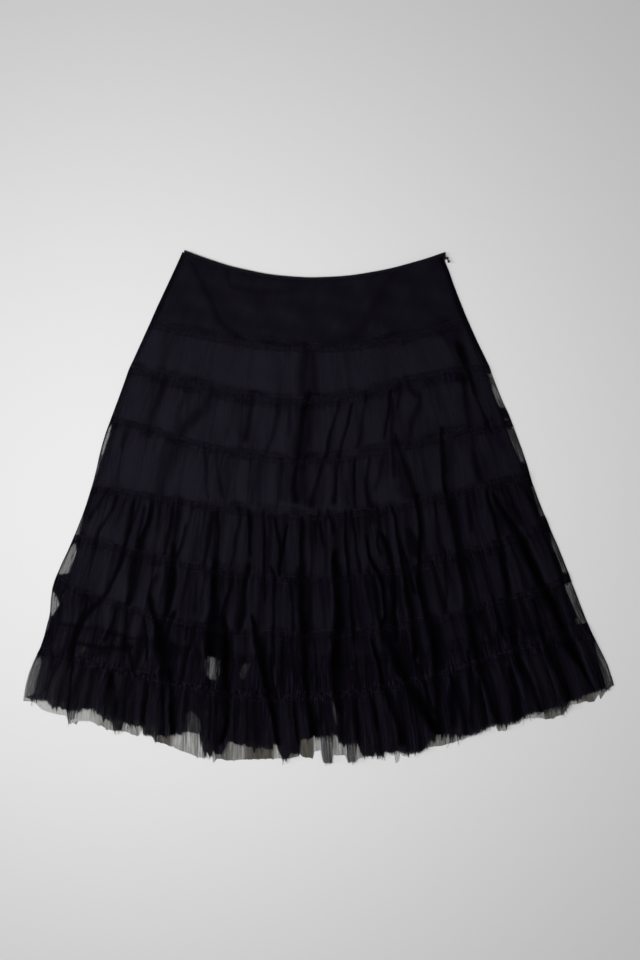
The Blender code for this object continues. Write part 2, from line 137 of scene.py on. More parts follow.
# Where the gathered heading of each seam shows: at each x, how far it reaches above the seam's line and below it. dark
# is how much net is gathered in it, from 0 to 1.
Heading = namedtuple("Heading", "dark places")
HEADINGS = {
    "yoke_seam": Heading(0.3, (
        (-234, 4, -8), (-120, 8, -6), (-60, 9, -5), (0, 6, -4), (60, 9, -8), (110, 6, -12), (150, 2, -14),
        (204, 4, -10),
    )),
    "seam_2": Heading(0.75, (
        (-257, 6, -13), (-200, 5, -17), (-100, 6, -15), (0, 4, -16), (50, 3.5, -17.5), (100, 2, -19), (150, -3, -21),
        (235, -3, -22),
    )),
    "seam_3": Heading(0.8, (
        (-280, -2, -14), (-200, -2.5, -15), (-150, -1, -13), (-100, 4.5, -11), (-60, 4.5, -8), (0, 6, -9),
        (50, 8, -6), (100, 8, -7), (150, 6, -11), (180, 4, -13), (263, 3, -14),
    )),
    "seam_4": Heading(0.6, (
        (-310, 2, -10), (-250, 0, -12), (-200, 0, -14), (-150, 2, -12), (-115, 9, -5), (-70, 10, -2), (-40, 8, -4),
        (0, 2, -10), (50, 4, -10), (100, 4, -12), (150, 4, -14), (200, 0, -15), (250, -1.5, -15), (290, 2, -10),
    )),
    "seam_5": Heading(0.3, (
        (-335, 4, -13), (-235, 2.5, -17), (-200, 4, -13), (-100, 8, -10), (-50, 4, -12), (0, 4, -11), (50, 7, -9),
        (120, 6, -10), (165, 6, -14), (200, 5, -14), (220, 0, -16), (250, -6, -20), (318, -6, -20),
    )),
    "seam_6": Heading(0.35, (
        (-368, 2, -12), (-250, -2, -12), (-190, -2.5, -15), (-100, 3, -12), (-50, 4.5, -13), (0, 5, -12), (60, 5, -10),
        (140, 5, -10), (185, 0, -12), (280, -3, -15), (351, -2, -14),
    )),
    "seam_7": Heading(0.1, (
        (-388, 5, -12.6), (-320, 4, -14), (-300, 0, -13), (-235, 7, -8), (-180, 5, -10), (-100, 8, -9), (-60, 12, -9),
        (0, 5, -12), (60, 8, -10), (145, 2, -14), (180, -3, -17), (240, 2, -14), (300, -6, -20), (381, -4, -18),
    )),
}
FLAP = 9.5  # each piece is lapped over the gathered heading of the next, and sewn down along both edges
YOKE_START = 3.0  # the yoke's net starts this far below the waist, inside its binding
SIDE_FOLD = 1.3  # the net is folded over along its sides

# Furrows between the long folds: how deep each is and how much shade is painted in it, or below 0 for a ridge, which
# is raised and given fewer layers of net as a painted highlight; and then its path, as the x, y and half width of
# points along it.
FURROWS = [
    (0.3, (-178, 340, 3), (-168, 322, 4), (-158, 303, 4), (-150, 285, 4), (-142, 262, 4), (-126, 248, 4),
     (-112, 236, 3)),
    (0.25, (-130, 330, 2.5), (-126, 314, 2.5)),
    (0.24, (-122, 309, 3), (-95, 302, 4), (-60, 300, 4), (-38, 303, 3)),
    (0.22, (108, 330, 7), (90, 300, 8), (74, 270, 8), (60, 250, 7), (40, 238, 6)),
    (0.22, (170, 345, 5), (156, 326, 5)),
    (0.35, (172, 262, 8), (180, 240, 8), (188, 222, 7)),
    (-0.5, (152, 246, 1.8), (165, 240, 1.8), (174, 230, 2), (178, 216, 2), (179, 198, 2)),
    (0.25, (-70, 229, 2.5), (-46, 226, 2.5), (-28, 227, 2.5)),
    (0.25, (78, 236, 3), (96, 240, 3), (112, 242, 3)),
    (0.18, (-215, 244, 6), (-216, 215, 6), (-222, 190, 6)),
    (0.45, (-18, 226, 6), (-20, 205, 6.5), (-23, 180, 6.5), (-23, 158, 6)),
    (0.3, (-8, 215, 6), (-8, 180, 6), (-8, 158, 7)),
    (0.85, (195, 225, 4), (203, 205, 4.5), (208, 190, 3.2), (213, 175, 3), (218, 160, 2.6)),
    (0.4, (192, 250, 7), (196, 225, 7), (200, 195, 7), (203, 176, 5)),
    (-0.4, (-52, 214, 2.4), (-42, 195, 2.6), (-38, 175, 2.8), (-37, 150, 2.8), (-38, 120, 2.8), (-40, 95, 2.8),
     (-43, 60, 2.8), (-43, 25, 2.8), (-41, 6, 2.4)),
    (0.38, (-216, 180, 4), (-221, 160, 5), (-228, 145, 5), (-235, 125, 5), (-241, 103, 5)),
    (0.38, (-150, 172, 4), (-151, 155, 5), (-160, 140, 5), (-172, 128, 6), (-186, 114, 7), (-197, 98, 7),
     (-202, 80, 7), (-210, 60, 8), (-217, 45, 7), (-220, 28, 6), (-219, 18, 5)),
    (0.22, (-111, 162, 3), (-115, 145, 4), (-122, 128, 4), (-130, 100, 4)),
    (0.5, (-95, 158, 3.8), (-95, 138, 3.4), (-98, 122, 3.2), (-103, 96, 3.4)),
    (0.45, (-57, 150, 3), (-57, 130, 3), (-60, 115, 3), (-65, 100, 3), (-70, 88, 3), (-75, 74, 3)),
    (0.3, (-43, 146, 1.8), (-42, 125, 1.8), (-42, 104, 1.8)),
    (0.7, (-15, 158, 3), (-20, 140, 4.5), (-25, 115, 5), (-27, 95, 5), (-29, 80, 4.5), (-31, 65, 4), (-32, 50, 3.6),
     (-35, 38, 3.4), (-36, 24, 3.4), (-32, 10, 5)),
    (0.45, (-12, 150, 6), (-16, 125, 7.5), (-18, 100, 7.5), (-21, 75, 7), (-24, 55, 6)),
    (0.45, (-22, 62, 6), (-24, 40, 8), (-23, 20, 8), (-16, 4, 7)),
    (0.62, (28, 145, 2.2), (22, 125, 2.4), (17, 108, 2.6), (13, 90, 3), (10, 73, 2.8), (4, 56, 2.6), (-2, 40, 2.6),
     (-7, 22, 2.8), (-10, 4, 4)),
    (0.66, (46, 142, 1.8), (42, 125, 2), (37, 105, 2.2), (32, 88, 2.4), (28, 72, 2.6), (25, 52, 2.4), (24, 35, 2.6),
     (21, 8, 3.4)),
    (0.5, (65, 156, 2), (63, 138, 2.2), (60, 118, 2.2), (58, 98, 2.2), (53, 84, 2.2)),
    (0.62, (100, 160, 2), (98, 140, 2.2), (95, 118, 2.4), (92, 100, 2)),
    (0.5, (103, 150, 2), (102, 120, 2.4), (102, 96, 2.6), (104, 72, 2.6), (105, 45, 2.4)),
    (0.5, (113, 172, 2), (112, 155, 2), (110, 140, 2)),
    (0.45, (122, 180, 3), (130, 164, 4), (134, 158, 3)),
    (0.38, (142, 158, 3), (141, 143, 3.6), (134, 130, 3.6), (129, 115, 3.6), (127, 98, 3), (125, 84, 3)),
    (0.6, (107, 98, 2), (111, 82, 2.6), (117, 66, 3), (124, 50, 4), (129, 34, 4), (133, 18, 4), (137, 2, 4)),
    (0.42, (112, 60, 8), (116, 45, 11), (120, 30, 11), (124, 16, 8)),
    (0.5, (203, 178, 4), (204, 155, 3.6), (207, 135, 3.4), (211, 115, 3), (214, 95, 3), (217, 75, 3), (221, 52, 3.4),
     (226, 38, 4)),
    (0.6, (222, 150, 2), (226, 140, 2.4), (232, 124, 2.8), (240, 107, 2.4)),
    (0.4, (241, 124, 2), (246, 108, 3), (254, 86, 4)),
    (-0.3, (190, 172, 3), (187, 150, 3), (188, 128, 3), (191, 100, 3), (194, 72, 3), (195, 45, 3), (196, 22, 3)),
    (0.22, (232, 72, 11), (235, 55, 12), (236, 40, 11)),
    (0.3, (182, 84, 4), (184, 50, 4.5), (185, 24, 4.5)),
    (0.85, (171, 108, 3), (172, 90, 3.4), (173, 70, 3.6), (175, 50, 3.6), (175, 30, 3.8), (178, 15, 4), (184, 0, 4.6),
     (187, -20, 4.8), (192, -40, 5.4), (196, -60, 5.8), (199, -80, 5), (202, -100, 5), (206, -120, 6),
     (210, -140, 7.5), (211, -160, 7.5), (214, -182, 7), (220, -200, 5.8), (224, -220, 6), (230, -240, 4.6),
     (237, -260, 4.6), (244, -282, 4), (248, -296, 3)),
    (0.45, (-160, 82, 2), (-158, 60, 2), (-158, 40, 2), (-156, 16, 2.4)),
    (0.4, (-143, 76, 2.2), (-142, 50, 2.2), (-138, 30, 2.2), (-134, 16, 2.4)),
    (0.4, (-272, 100, 2), (-275, 86, 2)),
    (0.35, (-86, 60, 4), (-90, 40, 5), (-93, 20, 5), (-94, 10, 4)),
    (0.42, (-52, 66, 3), (-52, 40, 3), (-54, 14, 3)),
    (0.35, (-45, 60, 2.4), (-45, 30, 2.4), (-46, 12, 2.4)),
    (0.8, (50, 64, 1.8), (49, 40, 2), (49, 18, 2.2), (51, 4, 2.2)),
    (0.6, (70, 68, 2.2), (67, 45, 2.4), (65, 28, 2.4), (69, 6, 2.8)),
    (0.42, (88, 64, 2.2), (85, 45, 2.4), (79, 28, 2.4)),
    (0.4, (38, 34, 3.6), (40, 6, 4)),
    (0.55, (75, 2, 4), (75, -18, 4)),
    (0.55, (-297, 22, 2), (-309, 3, 2), (-319, -14, 2)),
    (0.65, (-281, 14, 2), (-287, 0, 2.2), (-295, -14, 2.4), (-304, -28, 2.4), (-310, -38, 2.2), (-312, -52, 2)),
    (0.45, (-270, 12, 1.8), (-274, -1, 2), (-279, -14, 1.8)),
    (0.8, (-259, 6, 2.6), (-262, -14, 3), (-267, -36, 3.2), (-270, -52, 3.4), (-273, -62, 3.6), (-277, -76, 3),
     (-284, -96, 2.8), (-292, -111, 3), (-300, -125, 3.4), (-311, -137, 3.2), (-322, -147, 3.6), (-330, -156, 4.4),
     (-335, -168, 4.4), (-340, -182, 4.4), (-344, -198, 3.6), (-346, -214, 3), (-345, -228, 2), (-347, -245, 1.8),
     (-348, -262, 1.8), (-350, -284, 2)),
    (0.6, (-323, -128, 2.6), (-327, -140, 3), (-332, -156, 3)),
    (0.5, (-251, 5, 1.8), (-255, -8, 2), (-260, -22, 2), (-264, -34, 2)),
    (0.85, (-234, 2, 2.6), (-236, -12, 2.8), (-240, -24, 3), (-245, -37, 3.4), (-251, -50, 5), (-254, -62, 5.8),
     (-257, -76, 6.4), (-259, -92, 7), (-262, -106, 6.6), (-263, -118, 5.4), (-266, -132, 4)),
    (0.65, (-266, -128, 3.6), (-269, -146, 4), (-269, -162, 3.6), (-271, -180, 3.4), (-272, -196, 3)),
    (0.6, (-245, -2, 2), (-247, -16, 2.4), (-251, -32, 2.6), (-254, -46, 3)),
    (0.45, (-222, 4, 1.8), (-224, -14, 2), (-226, -27, 2)),
    (0.6, (-205, -5, 2.6), (-208, -24, 3), (-212, -42, 3.2), (-217, -64, 3)),
    (0.35, (-199, -8, 7), (-201, -32, 7.5), (-205, -52, 6)),
    (0.7, (-186, -28, 2), (-190, -45, 2.2), (-195, -60, 2.4), (-201, -74, 3)),
    (1, (-203, -56, 3.4), (-204, -74, 4.4), (-204, -90, 4.8), (-206, -106, 5.6), (-208, -124, 6), (-210, -137, 5.4),
     (-214, -149, 4), (-219, -162, 3), (-222, -176, 3.4)),
    (1, (-236, -128, 2.6), (-233, -144, 3.4), (-229, -158, 4), (-225, -170, 5.4), (-221, -184, 8), (-219, -198, 9.4),
     (-218, -212, 8.6), (-217, -226, 7.4), (-216, -238, 6)),
    (0.9, (-203, -150, 3), (-208, -161, 3.4), (-212, -174, 3.6), (-215, -188, 4)),
    (0.6, (-229, -98, 2.6), (-235, -112, 3.4), (-238, -128, 3)),
    (0.9, (-220, -234, 2.6), (-219, -252, 2.4), (-218, -275, 2.4), (-218, -300, 2.4), (-217, -318, 2.2)),
    (1.1, (-209, -230, 3.4), (-207, -252, 3.6), (-206, -275, 3.6), (-206, -300, 3.4), (-205, -318, 3)),
    (0.85, (-243, -160, 1.8), (-242, -176, 2), (-240, -192, 1.8), (-240, -212, 1.6)),
    (0.55, (-339, -190, 2), (-325, -193, 2.6), (-308, -197, 3.6), (-292, -196, 3.4), (-277, -199, 3),
     (-264, -196, 2.4)),
    (0.5, (-314, -206, 2.6), (-306, -204, 3), (-297, -203, 3)),
    (0.7, (-282, -138, 2), (-286, -154, 2.4), (-291, -168, 2.6), (-298, -184, 2.4)),
    (0.5, (-371, -211, 2), (-374, -226, 2)),
    (0.55, (-318, -230, 3.4), (-319, -250, 3.4), (-323, -266, 3.4), (-327, -281, 3)),
    (0.7, (-291, -232, 4.2), (-290, -250, 4.2)),
    (0.45, (-289, -252, 5), (-288, -270, 5.4), (-290, -288, 5)),
    (0.6, (-283, -272, 2.6), (-286, -297, 2.6)),
    (0.55, (-262, -247, 2.6), (-267, -262, 2.8), (-270, -280, 3), (-273, -298, 2.8)),
    (0.8, (-241, -238, 2.4), (-242, -255, 3), (-244, -276, 3.6), (-246, -302, 3.4)),
    (0.6, (-266, -196, 2.6), (-264, -210, 2.6), (-261, -226, 2.4)),
    (0.65, (-149, -10, 3), (-152, -30, 3.6), (-155, -48, 3.6), (-158, -62, 3.4), (-160, -80, 3)),
    (0.35, (-147, -20, 4), (-149, -45, 4.4), (-152, -70, 4.4)),
    (0.7, (-142, -8, 2.4), (-140, -38, 2.6), (-142, -60, 3), (-145, -78, 3.8)),
    (1.1, (-145, -76, 4), (-147, -92, 4.6), (-147, -112, 4), (-147, -128, 5.2), (-147, -145, 7.4), (-150, -165, 8.8),
     (-152, -185, 9), (-151, -204, 8.6)),
    (0.5, (-111, -4, 3.4), (-109, -14, 2.6), (-113, -30, 2.2), (-117, -48, 2.2), (-120, -64, 2.2), (-122, -80, 2)),
    (0.95, (-98, -8, 2.4), (-97, -26, 2.8), (-97, -45, 2.4), (-97, -62, 2.2)),
    (0.75, (-77, -8, 2), (-77, -26, 2), (-76, -45, 1.8), (-76, -66, 2.2), (-77, -84, 2.6), (-76, -104, 2),
     (-76, -126, 1.8)),
    (0.9, (-62, -18, 2), (-59, -32, 2.4), (-56, -46, 2.4), (-55, -62, 2)),
    (0.9, (-45, -28, 2), (-48, -45, 2.6), (-51, -60, 2.6), (-54, -76, 2.4), (-55, -90, 2)),
    (1.05, (-24, -18, 2.6), (-24, -45, 3.2), (-25, -70, 3.6), (-24, -92, 4.8), (-24, -112, 4.6), (-25, -132, 4.4),
     (-23, -152, 5.6), (-20, -176, 6.8), (-21, -202, 6), (-20, -228, 4.4), (-18, -252, 3.4), (-16, -270, 3.2),
     (-12, -286, 5), (-9, -302, 5.6), (-8, -320, 4.6)),
    (0.5, (-31, -88, 3), (-30, -115, 3.4), (-30, -145, 3)),
    (0.6, (-1, -8, 1.8), (-4, -20, 1.8), (-6, -34, 1.8), (-5, -46, 1.6)),
    (0.75, (-66, -86, 1.8), (-61, -97, 2), (-63, -112, 1.8), (-63, -140, 1.8), (-64, -164, 2), (-63, -190, 1.8),
     (-63, -215, 1.8)),
    (0.5, (-12, -98, 2.2), (-13, -125, 2.6), (-12, -150, 2.2)),
    (0.9, (-99, -84, 3), (-102, -100, 3.6), (-105, -116, 3.8), (-106, -132, 4), (-107, -148, 5), (-110, -162, 5),
     (-113, -173, 3.6)),
    (0.8, (-122, -94, 1.8), (-123, -110, 2), (-128, -125, 2.6), (-133, -139, 3), (-136, -154, 4)),
    (1.15, (-134, -156, 3.6), (-131, -172, 6), (-131, -190, 6.4), (-131, -212, 5.4), (-131, -238, 5.4),
     (-130, -264, 5.8), (-129, -288, 4.8), (-130, -310, 4.2), (-135, -326, 3)),
    (0.4, (-172, -95, 1.8), (-172, -118, 1.8), (-173, -145, 1.8)),
    (0.6, (-173, -166, 2), (-178, -186, 2.6), (-185, -208, 3.2), (-189, -226, 3), (-193, -244, 2.6)),
    (1.1, (-93, -156, 2.4), (-89, -172, 4), (-85, -190, 5.6), (-81, -210, 5.6), (-77, -230, 5), (-74, -247, 4.8),
     (-70, -264, 4.6), (-66, -282, 4.2), (-62, -302, 3.6), (-58, -328, 3)),
    (0.8, (-67, -212, 2), (-66, -236, 2.4), (-63, -256, 2.6), (-58, -272, 2.2)),
    (0.5, (-90, -262, 3), (-92, -282, 4.6), (-91, -302, 4.6), (-89, -328, 4)),
    (0.5, (-52, -176, 1.6), (-52, -204, 1.6), (-52, -240, 1.6)),
    (0.75, (-34, -276, 2), (-34, -296, 2.2), (-31, -312, 2.2), (-29, -328, 2)),
    (0.65, (-152, -246, 1.6), (-153, -270, 1.8), (-152, -292, 1.8), (-154, -322, 1.8)),
    (0.45, (-155, -92, 1.8), (-155, -110, 1.8), (-154, -132, 1.8)),
    (0.85, (2, -24, 1.6), (4, -36, 2), (6, -50, 1.8)),
    (0.8, (13, -8, 2.4), (17, -20, 3), (20, -32, 3)),
    (0.5, (22, -34, 4.4), (24, -50, 5), (24, -64, 5)),
    (1.1, (22, -64, 3.4), (22, -80, 4.6), (24, -96, 6), (26, -108, 6.6), (26, -122, 6.6), (27, -138, 6),
     (28, -154, 6), (27, -168, 6.6), (24, -184, 7), (25, -204, 7.2), (24, -222, 7.6), (24, -242, 8), (25, -262, 7),
     (27, -282, 4.6)),
    (0.7, (29, -286, 3.4), (31, -308, 3.6), (31, -322, 3)),
    (0.9, (37, -8, 2), (36, -26, 2), (37, -42, 2.2), (38, -58, 2.2), (40, -78, 2.4), (42, -96, 2.6), (44, -112, 2.4),
     (44, -128, 2.6), (46, -148, 3.4), (47, -164, 3.6), (48, -182, 3)),
    (0.85, (46, -8, 1.8), (48, -22, 2), (50, -36, 2.2), (52, -54, 2.2), (54, -70, 2.4), (57, -88, 2.2)),
    (1.1, (66, -44, 1.8), (68, -60, 2), (72, -72, 2.8), (78, -84, 3), (84, -95, 2.8), (89, -106, 2.6),
     (91, -120, 2.4), (91, -136, 2.4), (93, -150, 2.4), (90, -162, 3)),
    (0.65, (70, -90, 2.2), (76, -104, 3), (80, -120, 3.4), (81, -136, 3.4), (82, -152, 2.6)),
    (0.8, (82, -4, 2.2), (84, -20, 2.6), (82, -36, 2.4), (81, -50, 2.2), (85, -62, 2.2)),
    (0.95, (87, -38, 2.4), (94, -50, 3.6), (98, -62, 4.4), (101, -77, 4), (103, -92, 3), (105, -110, 3.4),
     (105, -130, 4.2), (104, -150, 3.8), (107, -166, 4.2), (107, -184, 3.4)),
    (1.05, (102, -3, 1.8), (107, -18, 2.4), (109, -32, 2.8), (111, -48, 2.8), (114, -62, 3), (117, -78, 3.2),
     (119, -94, 3), (121, -108, 3.4), (124, -122, 4), (127, -138, 4.8), (130, -155, 5.2), (132, -172, 4.8),
     (134, -190, 4), (134, -206, 3)),
    (0.9, (117, -60, 2), (122, -74, 2.2), (126, -87, 2), (128, -104, 3.6), (132, -116, 3)),
    (1.05, (136, 14, 3), (138, 0, 3.2), (141, -14, 3.4), (142, -32, 3.2), (141, -52, 3.6), (140, -72, 3.6),
     (140, -92, 3.4), (141, -108, 4.4), (144, -126, 5.2), (148, -140, 5.4), (152, -154, 6), (158, -170, 7),
     (161, -186, 6.4), (163, -204, 6), (164, -222, 5.6), (165, -242, 4.6), (165, -260, 4.4), (166, -280, 5),
     (167, -300, 5.6), (168, -318, 5)),
    (0.6, (127, -34, 5), (132, -50, 6), (134, -66, 4.6)),
    (0.4, (163, 5, 1.5), (163, -10, 1.6), (164, -34, 1.5)),
    (0.6, (176, -62, 1.8), (177, -88, 2), (178, -112, 2.2), (177, -142, 2)),
    (1.1, (74, -188, 1.8), (79, -203, 2.4), (83, -218, 2.8), (86, -232, 3), (89, -246, 3.4), (93, -257, 3.8),
     (98, -268, 4), (104, -282, 4.6), (109, -296, 5), (113, -312, 5), (115, -328, 4.4)),
    (0.75, (71, -260, 2.2), (75, -276, 2.8), (79, -290, 3), (82, -307, 2.6)),
    (0.9, (86, -160, 3), (93, -178, 6), (102, -194, 8.4), (108, -210, 8.4), (114, -226, 7.4), (123, -242, 5.6),
     (132, -256, 5.6)),
    (1.1, (128, -250, 4), (136, -262, 6.2), (143, -276, 7), (151, -292, 6.4), (160, -308, 5.4)),
    (0.5, (118, -182, 6), (123, -205, 7), (127, -228, 7)),
    (0.75, (140, -222, 2), (145, -238, 2.4), (150, -254, 2.4), (155, -270, 2.4), (160, -286, 2)),
    (0.85, (187, -240, 4.8), (187, -262, 5.6), (188, -284, 5.6), (188, -302, 5)),
    (0.75, (52, -270, 2.8), (53, -294, 3.4), (54, -322, 3.2)),
    (0.45, (50, -222, 4), (54, -240, 4.6), (56, -262, 4)),
    (0.4, (4, -278, 2), (4, -302, 2)),
    (0.55, (206, 16, 2), (209, 0, 2.2), (211, -14, 2.2), (212, -30, 2.2)),
    (0.35, (216, 16, 2), (216, 0, 2)),
    (0.35, (226, 16, 1.6), (227, 0, 1.6)),
    (0.95, (234, 20, 2.2), (239, 4, 2.6), (244, -12, 2.8), (248, -28, 3), (251, -40, 4), (254, -54, 4),
     (257, -72, 3.6), (260, -92, 3.8), (263, -110, 4.4), (265, -126, 5.2), (268, -142, 4.8), (270, -156, 4.4),
     (273, -172, 4.2), (276, -190, 3.6), (278, -208, 3), (282, -220, 4), (289, -234, 4.8), (296, -250, 4.8),
     (303, -266, 3.8), (310, -286, 3)),
    (0.8, (268, -172, 2), (271, -188, 2.2), (273, -204, 2.2), (278, -218, 2)),
    (1.1, (246, 14, 1.8), (250, 6, 2), (256, -4, 2.6), (263, -14, 4), (271, -26, 6), (278, -38, 6.4), (285, -50, 6),
     (290, -62, 5.8), (296, -76, 5.8), (303, -90, 6), (309, -104, 6), (316, -118, 6), (324, -132, 6),
     (331, -147, 5.6), (337, -160, 6), (343, -174, 6.4), (350, -189, 6.4), (357, -204, 5.6), (364, -217, 4),
     (371, -230, 3), (378, -244, 2.4), (383, -254, 2)),
    (0.4, (262, 6, 7), (271, -8, 8), (280, -22, 8)),
    (0.55, (262, 24, 1.8), (268, 12, 1.8), (273, 1, 1.8), (280, -13, 1.8)),
    (0.45, (255, 22, 1.8), (265, 4, 1.8)),
    (0.55, (282, 32, 2.6), (291, 18, 3), (299, 6, 3), (306, -8, 2.6)),
    (-0.3, (302, -44, 3), (312, -62, 3), (322, -90, 3), (332, -120, 4), (345, -152, 4)),
    (0.6, (330, -70, 2), (338, -90, 2), (343, -106, 2.2), (348, -124, 2)),
    (0.9, (242, -126, 1.8), (247, -144, 2.2), (252, -160, 2.4), (255, -174, 2)),
    (0.7, (300, -132, 3), (304, -146, 4), (308, -160, 4.2), (312, -178, 4)),
    (0.85, (312, -176, 3.4), (317, -196, 4.4), (324, -211, 6.4), (331, -224, 7), (337, -238, 7), (343, -252, 7),
     (349, -268, 6)),
    (0.9, (268, -228, 3), (273, -246, 5), (277, -266, 5.6), (280, -292, 4.8)),
    (0.75, (209, -204, 2.8), (211, -226, 3.2), (212, -250, 3.2), (212, -274, 3.2), (213, -304, 3)),
    (0.9, (224, -244, 2), (227, -262, 2.4), (230, -280, 2.8), (234, -300, 2.8)),
    (0.6, (250, -168, 2.4), (251, -184, 2.4), (254, -200, 2.6), (259, -212, 2.4)),
]
FURROW_FADE = 9.0  # how far one runs out past its ends
FURROW_DEPTH = 0.42  # of its half width


def lines_of(tier, at_back=False):
    """The lines that a tier runs between."""
    return LINES[tier.top], LINES["back_hem" if at_back and tier.bottom == "hem" else tier.bottom]


def run_of(number):
    """How far below its top line a tier's net starts, and how far it runs on past its bottom line."""
    return 0.0 if number else YOKE_START, 0.0 if number == RUFFLE else FLAP


def line_height(line, share):
    """How far up the skirt a line is, at these shares of its width: a curve through its five heights."""
    knots = (0.0, 0.25, 0.5, 0.75, 1.0)
    total = 0.0
    for i, height in enumerate(line[1:6]):
        weight = 1.0
        for j in range(5):
            if j != i:
                weight = weight * (share - knots[j]) / (knots[i] - knots[j])
        total = total + weight * height
    return total


def wobble(x, below, seed):
    """How far a seam strays from its line, where the gathers pull it."""
    stray = 0.7 * np.sin(x / 5.9 + seed) + 0.5 * np.sin(x / 2.6 + 2.0 * seed) + 0.6 * np.sin(x / 17.0 + 3.0 * seed)
    return stray * np.exp(-((below / 9.0) ** 2))


def between(low, high, value):
    """0 up to low, 1 from high on, and a smooth rise between them."""
    share = np.clip((value - low) / (high - low), 0.0, 1.0)
    return share * share * (3 - 2 * share)


def in_heading(seam, x, above):
    """From 0 to 1, how far inside a seam's gathered heading a place is, this far above the seam's line."""
    x_at, up, down = np.array(HEADINGS[seam].places, float).T
    above = above + 0.9 * np.sin(x / 4.3) + 0.5 * np.sin(x / 1.9)
    return between(-3.4, 1.6, np.interp(x, x_at, up) - above) * between(-1.0, 2.0, above - np.interp(x, x_at, down))


def fold_line(off):
    """How much the net doubles over across a fold that lies over to one side: it ends sharply there, beside a thin
    strip where the share goes below 0, a painted highlight, and fades away on the other side."""
    side_on = np.exp(-(np.clip(off / 0.95, 0, 2) ** 3)) - 0.13 * np.exp(-(((off - 1.55) / 0.42) ** 2))
    return np.where(off > 0, side_on, np.exp(-(np.abs(off / 1.2) ** 2)))


def joined(first, second):
    """Two shares of shade on top of each other."""
    return first + second * (1 - np.minimum(first, 1.0))


def furrowed(x, y):
    """How high the furrows and ridges raise the cloth, how much they fold it over and paint shade in it, and how much
    net the ridges lose, a painted highlight.
    """
    height, fold, net = np.zeros_like(x), np.zeros_like(x), np.zeros_like(x)
    for number, (shade, *path) in enumerate(FURROWS):
        path = np.array(path, float)
        for _ in range(2):  # cut its corners
            quarter, rest = path[:-1] * 0.75 + path[1:] * 0.25, path[:-1] * 0.25 + path[1:] * 0.75
            path = np.vstack([path[:1], np.stack([quarter, rest], 1).reshape(-1, 3), path[-1:]])
        extent = np.abs(path[-1] - path[0])
        along, across = (x, y) if extent[0] > extent[1] else (y, x)
        path = path if extent[0] > extent[1] else path[:, (1, 0, 2)]
        run, middle, half = (path if path[0, 0] < path[-1, 0] else path[::-1]).T
        past = np.maximum(np.maximum(along - run[-1], run[0] - along), 0)
        near = (past < FURROW_FADE) & (np.abs(across - np.interp(along, run, middle)) < 3 * half.max() + 6)
        if not near.any():
            continue
        here, over = along[near], past[near]
        slope = np.interp(here, (run[1:] + run[:-1]) / 2, np.diff(middle) / np.diff(run))
        centre = np.interp(here, run, middle) + np.sign(here - run[0]) * over * slope
        centre += 0.45 * np.sin(here / 7.3 + number * 1.7) + 0.3 * np.sin(here / 2.9 + number)
        width = np.interp(here, run, half) * (1 + 0.14 * np.sin(here / 11.0 + number * 2.1))
        off = (across[near] - centre) / np.sqrt(1 + slope**2) / width
        fade = np.cos(over / FURROW_FADE * math.pi / 2) ** 2
        strength = shade * abs(shade) ** 0.4 * (1 + 0.14 * np.sin(here / 19.0 + number * 3.3)) * fade
        mask = fold_line(off if number % 2 else -off) if shade > 0.55 else np.exp(-((off / 1.15) ** 2))
        height[near] -= FURROW_DEPTH * strength * np.minimum(width, 6.0) * np.exp(-((off / 1.4) ** 2))
        # painted shade along a furrow; a ridge gets fewer layers of net instead, a painted highlight
        if shade > 0:
            fold[near] = joined(fold[near], strength * mask)
        else:
            net[near] += strength * mask
    return height, fold, net


def pleats(share, below, width, count, seed, reach, thin):
    """Small gathers side by side, which run down from a seam and die away: how high each place stands, from 0 to 1,
    and how much the net doubles over between them. reach is how far the shortest and the longest run."""
    chance = np.random.default_rng(seed)
    widths = chance.uniform(0.45, 1.55, count)
    edges = np.concatenate(([0], np.cumsum(widths))) / widths.sum()
    crests = chance.uniform(0.3, 1.1, count)
    runs = chance.uniform(*reach, count)
    pinches, pinch_runs = chance.uniform(0.0, 1.2, count + 1), chance.uniform(*reach, count + 1)
    bent = share + (np.sin(below / 13.0 + share * 41.0) + 0.6 * np.sin(below / 5.7 + share * 93.0)) * 0.9 / width
    place = np.interp(bent, edges, np.arange(count + 1))
    wave = np.clip(place.astype(int), 0, count - 1)
    rise = crests[wave] * np.sin(np.pi * (place - wave)) ** 0.8 * np.exp(-((below / runs[wave]) ** 2))
    edge = np.clip(np.rint(place).astype(int), 0, count)
    lean = np.where(edge % 3 == 0, -1.0, 1.0)
    taper = np.exp(-((below / pinch_runs[edge]) ** 2)) * (0.35 + 0.65 * between(1.0, 9.0, below))
    off = (bent - edges[edge]) * lean * width / (thin * (0.55 + 0.45 * taper) * (0.6 + 0.5 * pinches[edge]))
    return rise, pinches[edge] * fold_line(off) * taper


def side(down, top, bottom, which):
    """The x of a tier's left or right edge, at these shares of the way down it."""
    edge, high, low = (RIGHT_SIDE, top.y_right, bottom.y_right) if which > 0 else (LEFT_SIDE, top.y_left, bottom.y_left)
    return np.interp(high + (low - high) * down, *np.array(edge).T)


def ragged(share, top, bottom, points, seed, swing, tips, lowest):
    """How far up a raw edge through these points is, at shares of its width: cut in uneven steps that swing this much,
    with tips of net that hang below it."""
    left, right = side(1.0, top, bottom, -1), side(1.0, top, bottom, 1)
    x = left + (right - left) * share
    start = -430  # left of either hem's end
    chance = np.random.default_rng(seed)
    steps = np.cumsum(chance.uniform(1.6, 7.5, 260)) + start
    level = chance.normal(0, swing, 261)
    fine = np.cumsum(chance.uniform(0.9, 2.4, 700)) + start
    tip = chance.normal(0, swing * 0.5, 701) - tips * chance.uniform(1.5, 6.5, 701) * (chance.random(701) < 0.13)
    edge = np.interp(x, *np.array(points)[:, :2].T) + level[np.searchsorted(steps, x)] + tip[np.searchsorted(fine, x)]
    return np.maximum(edge, lowest)


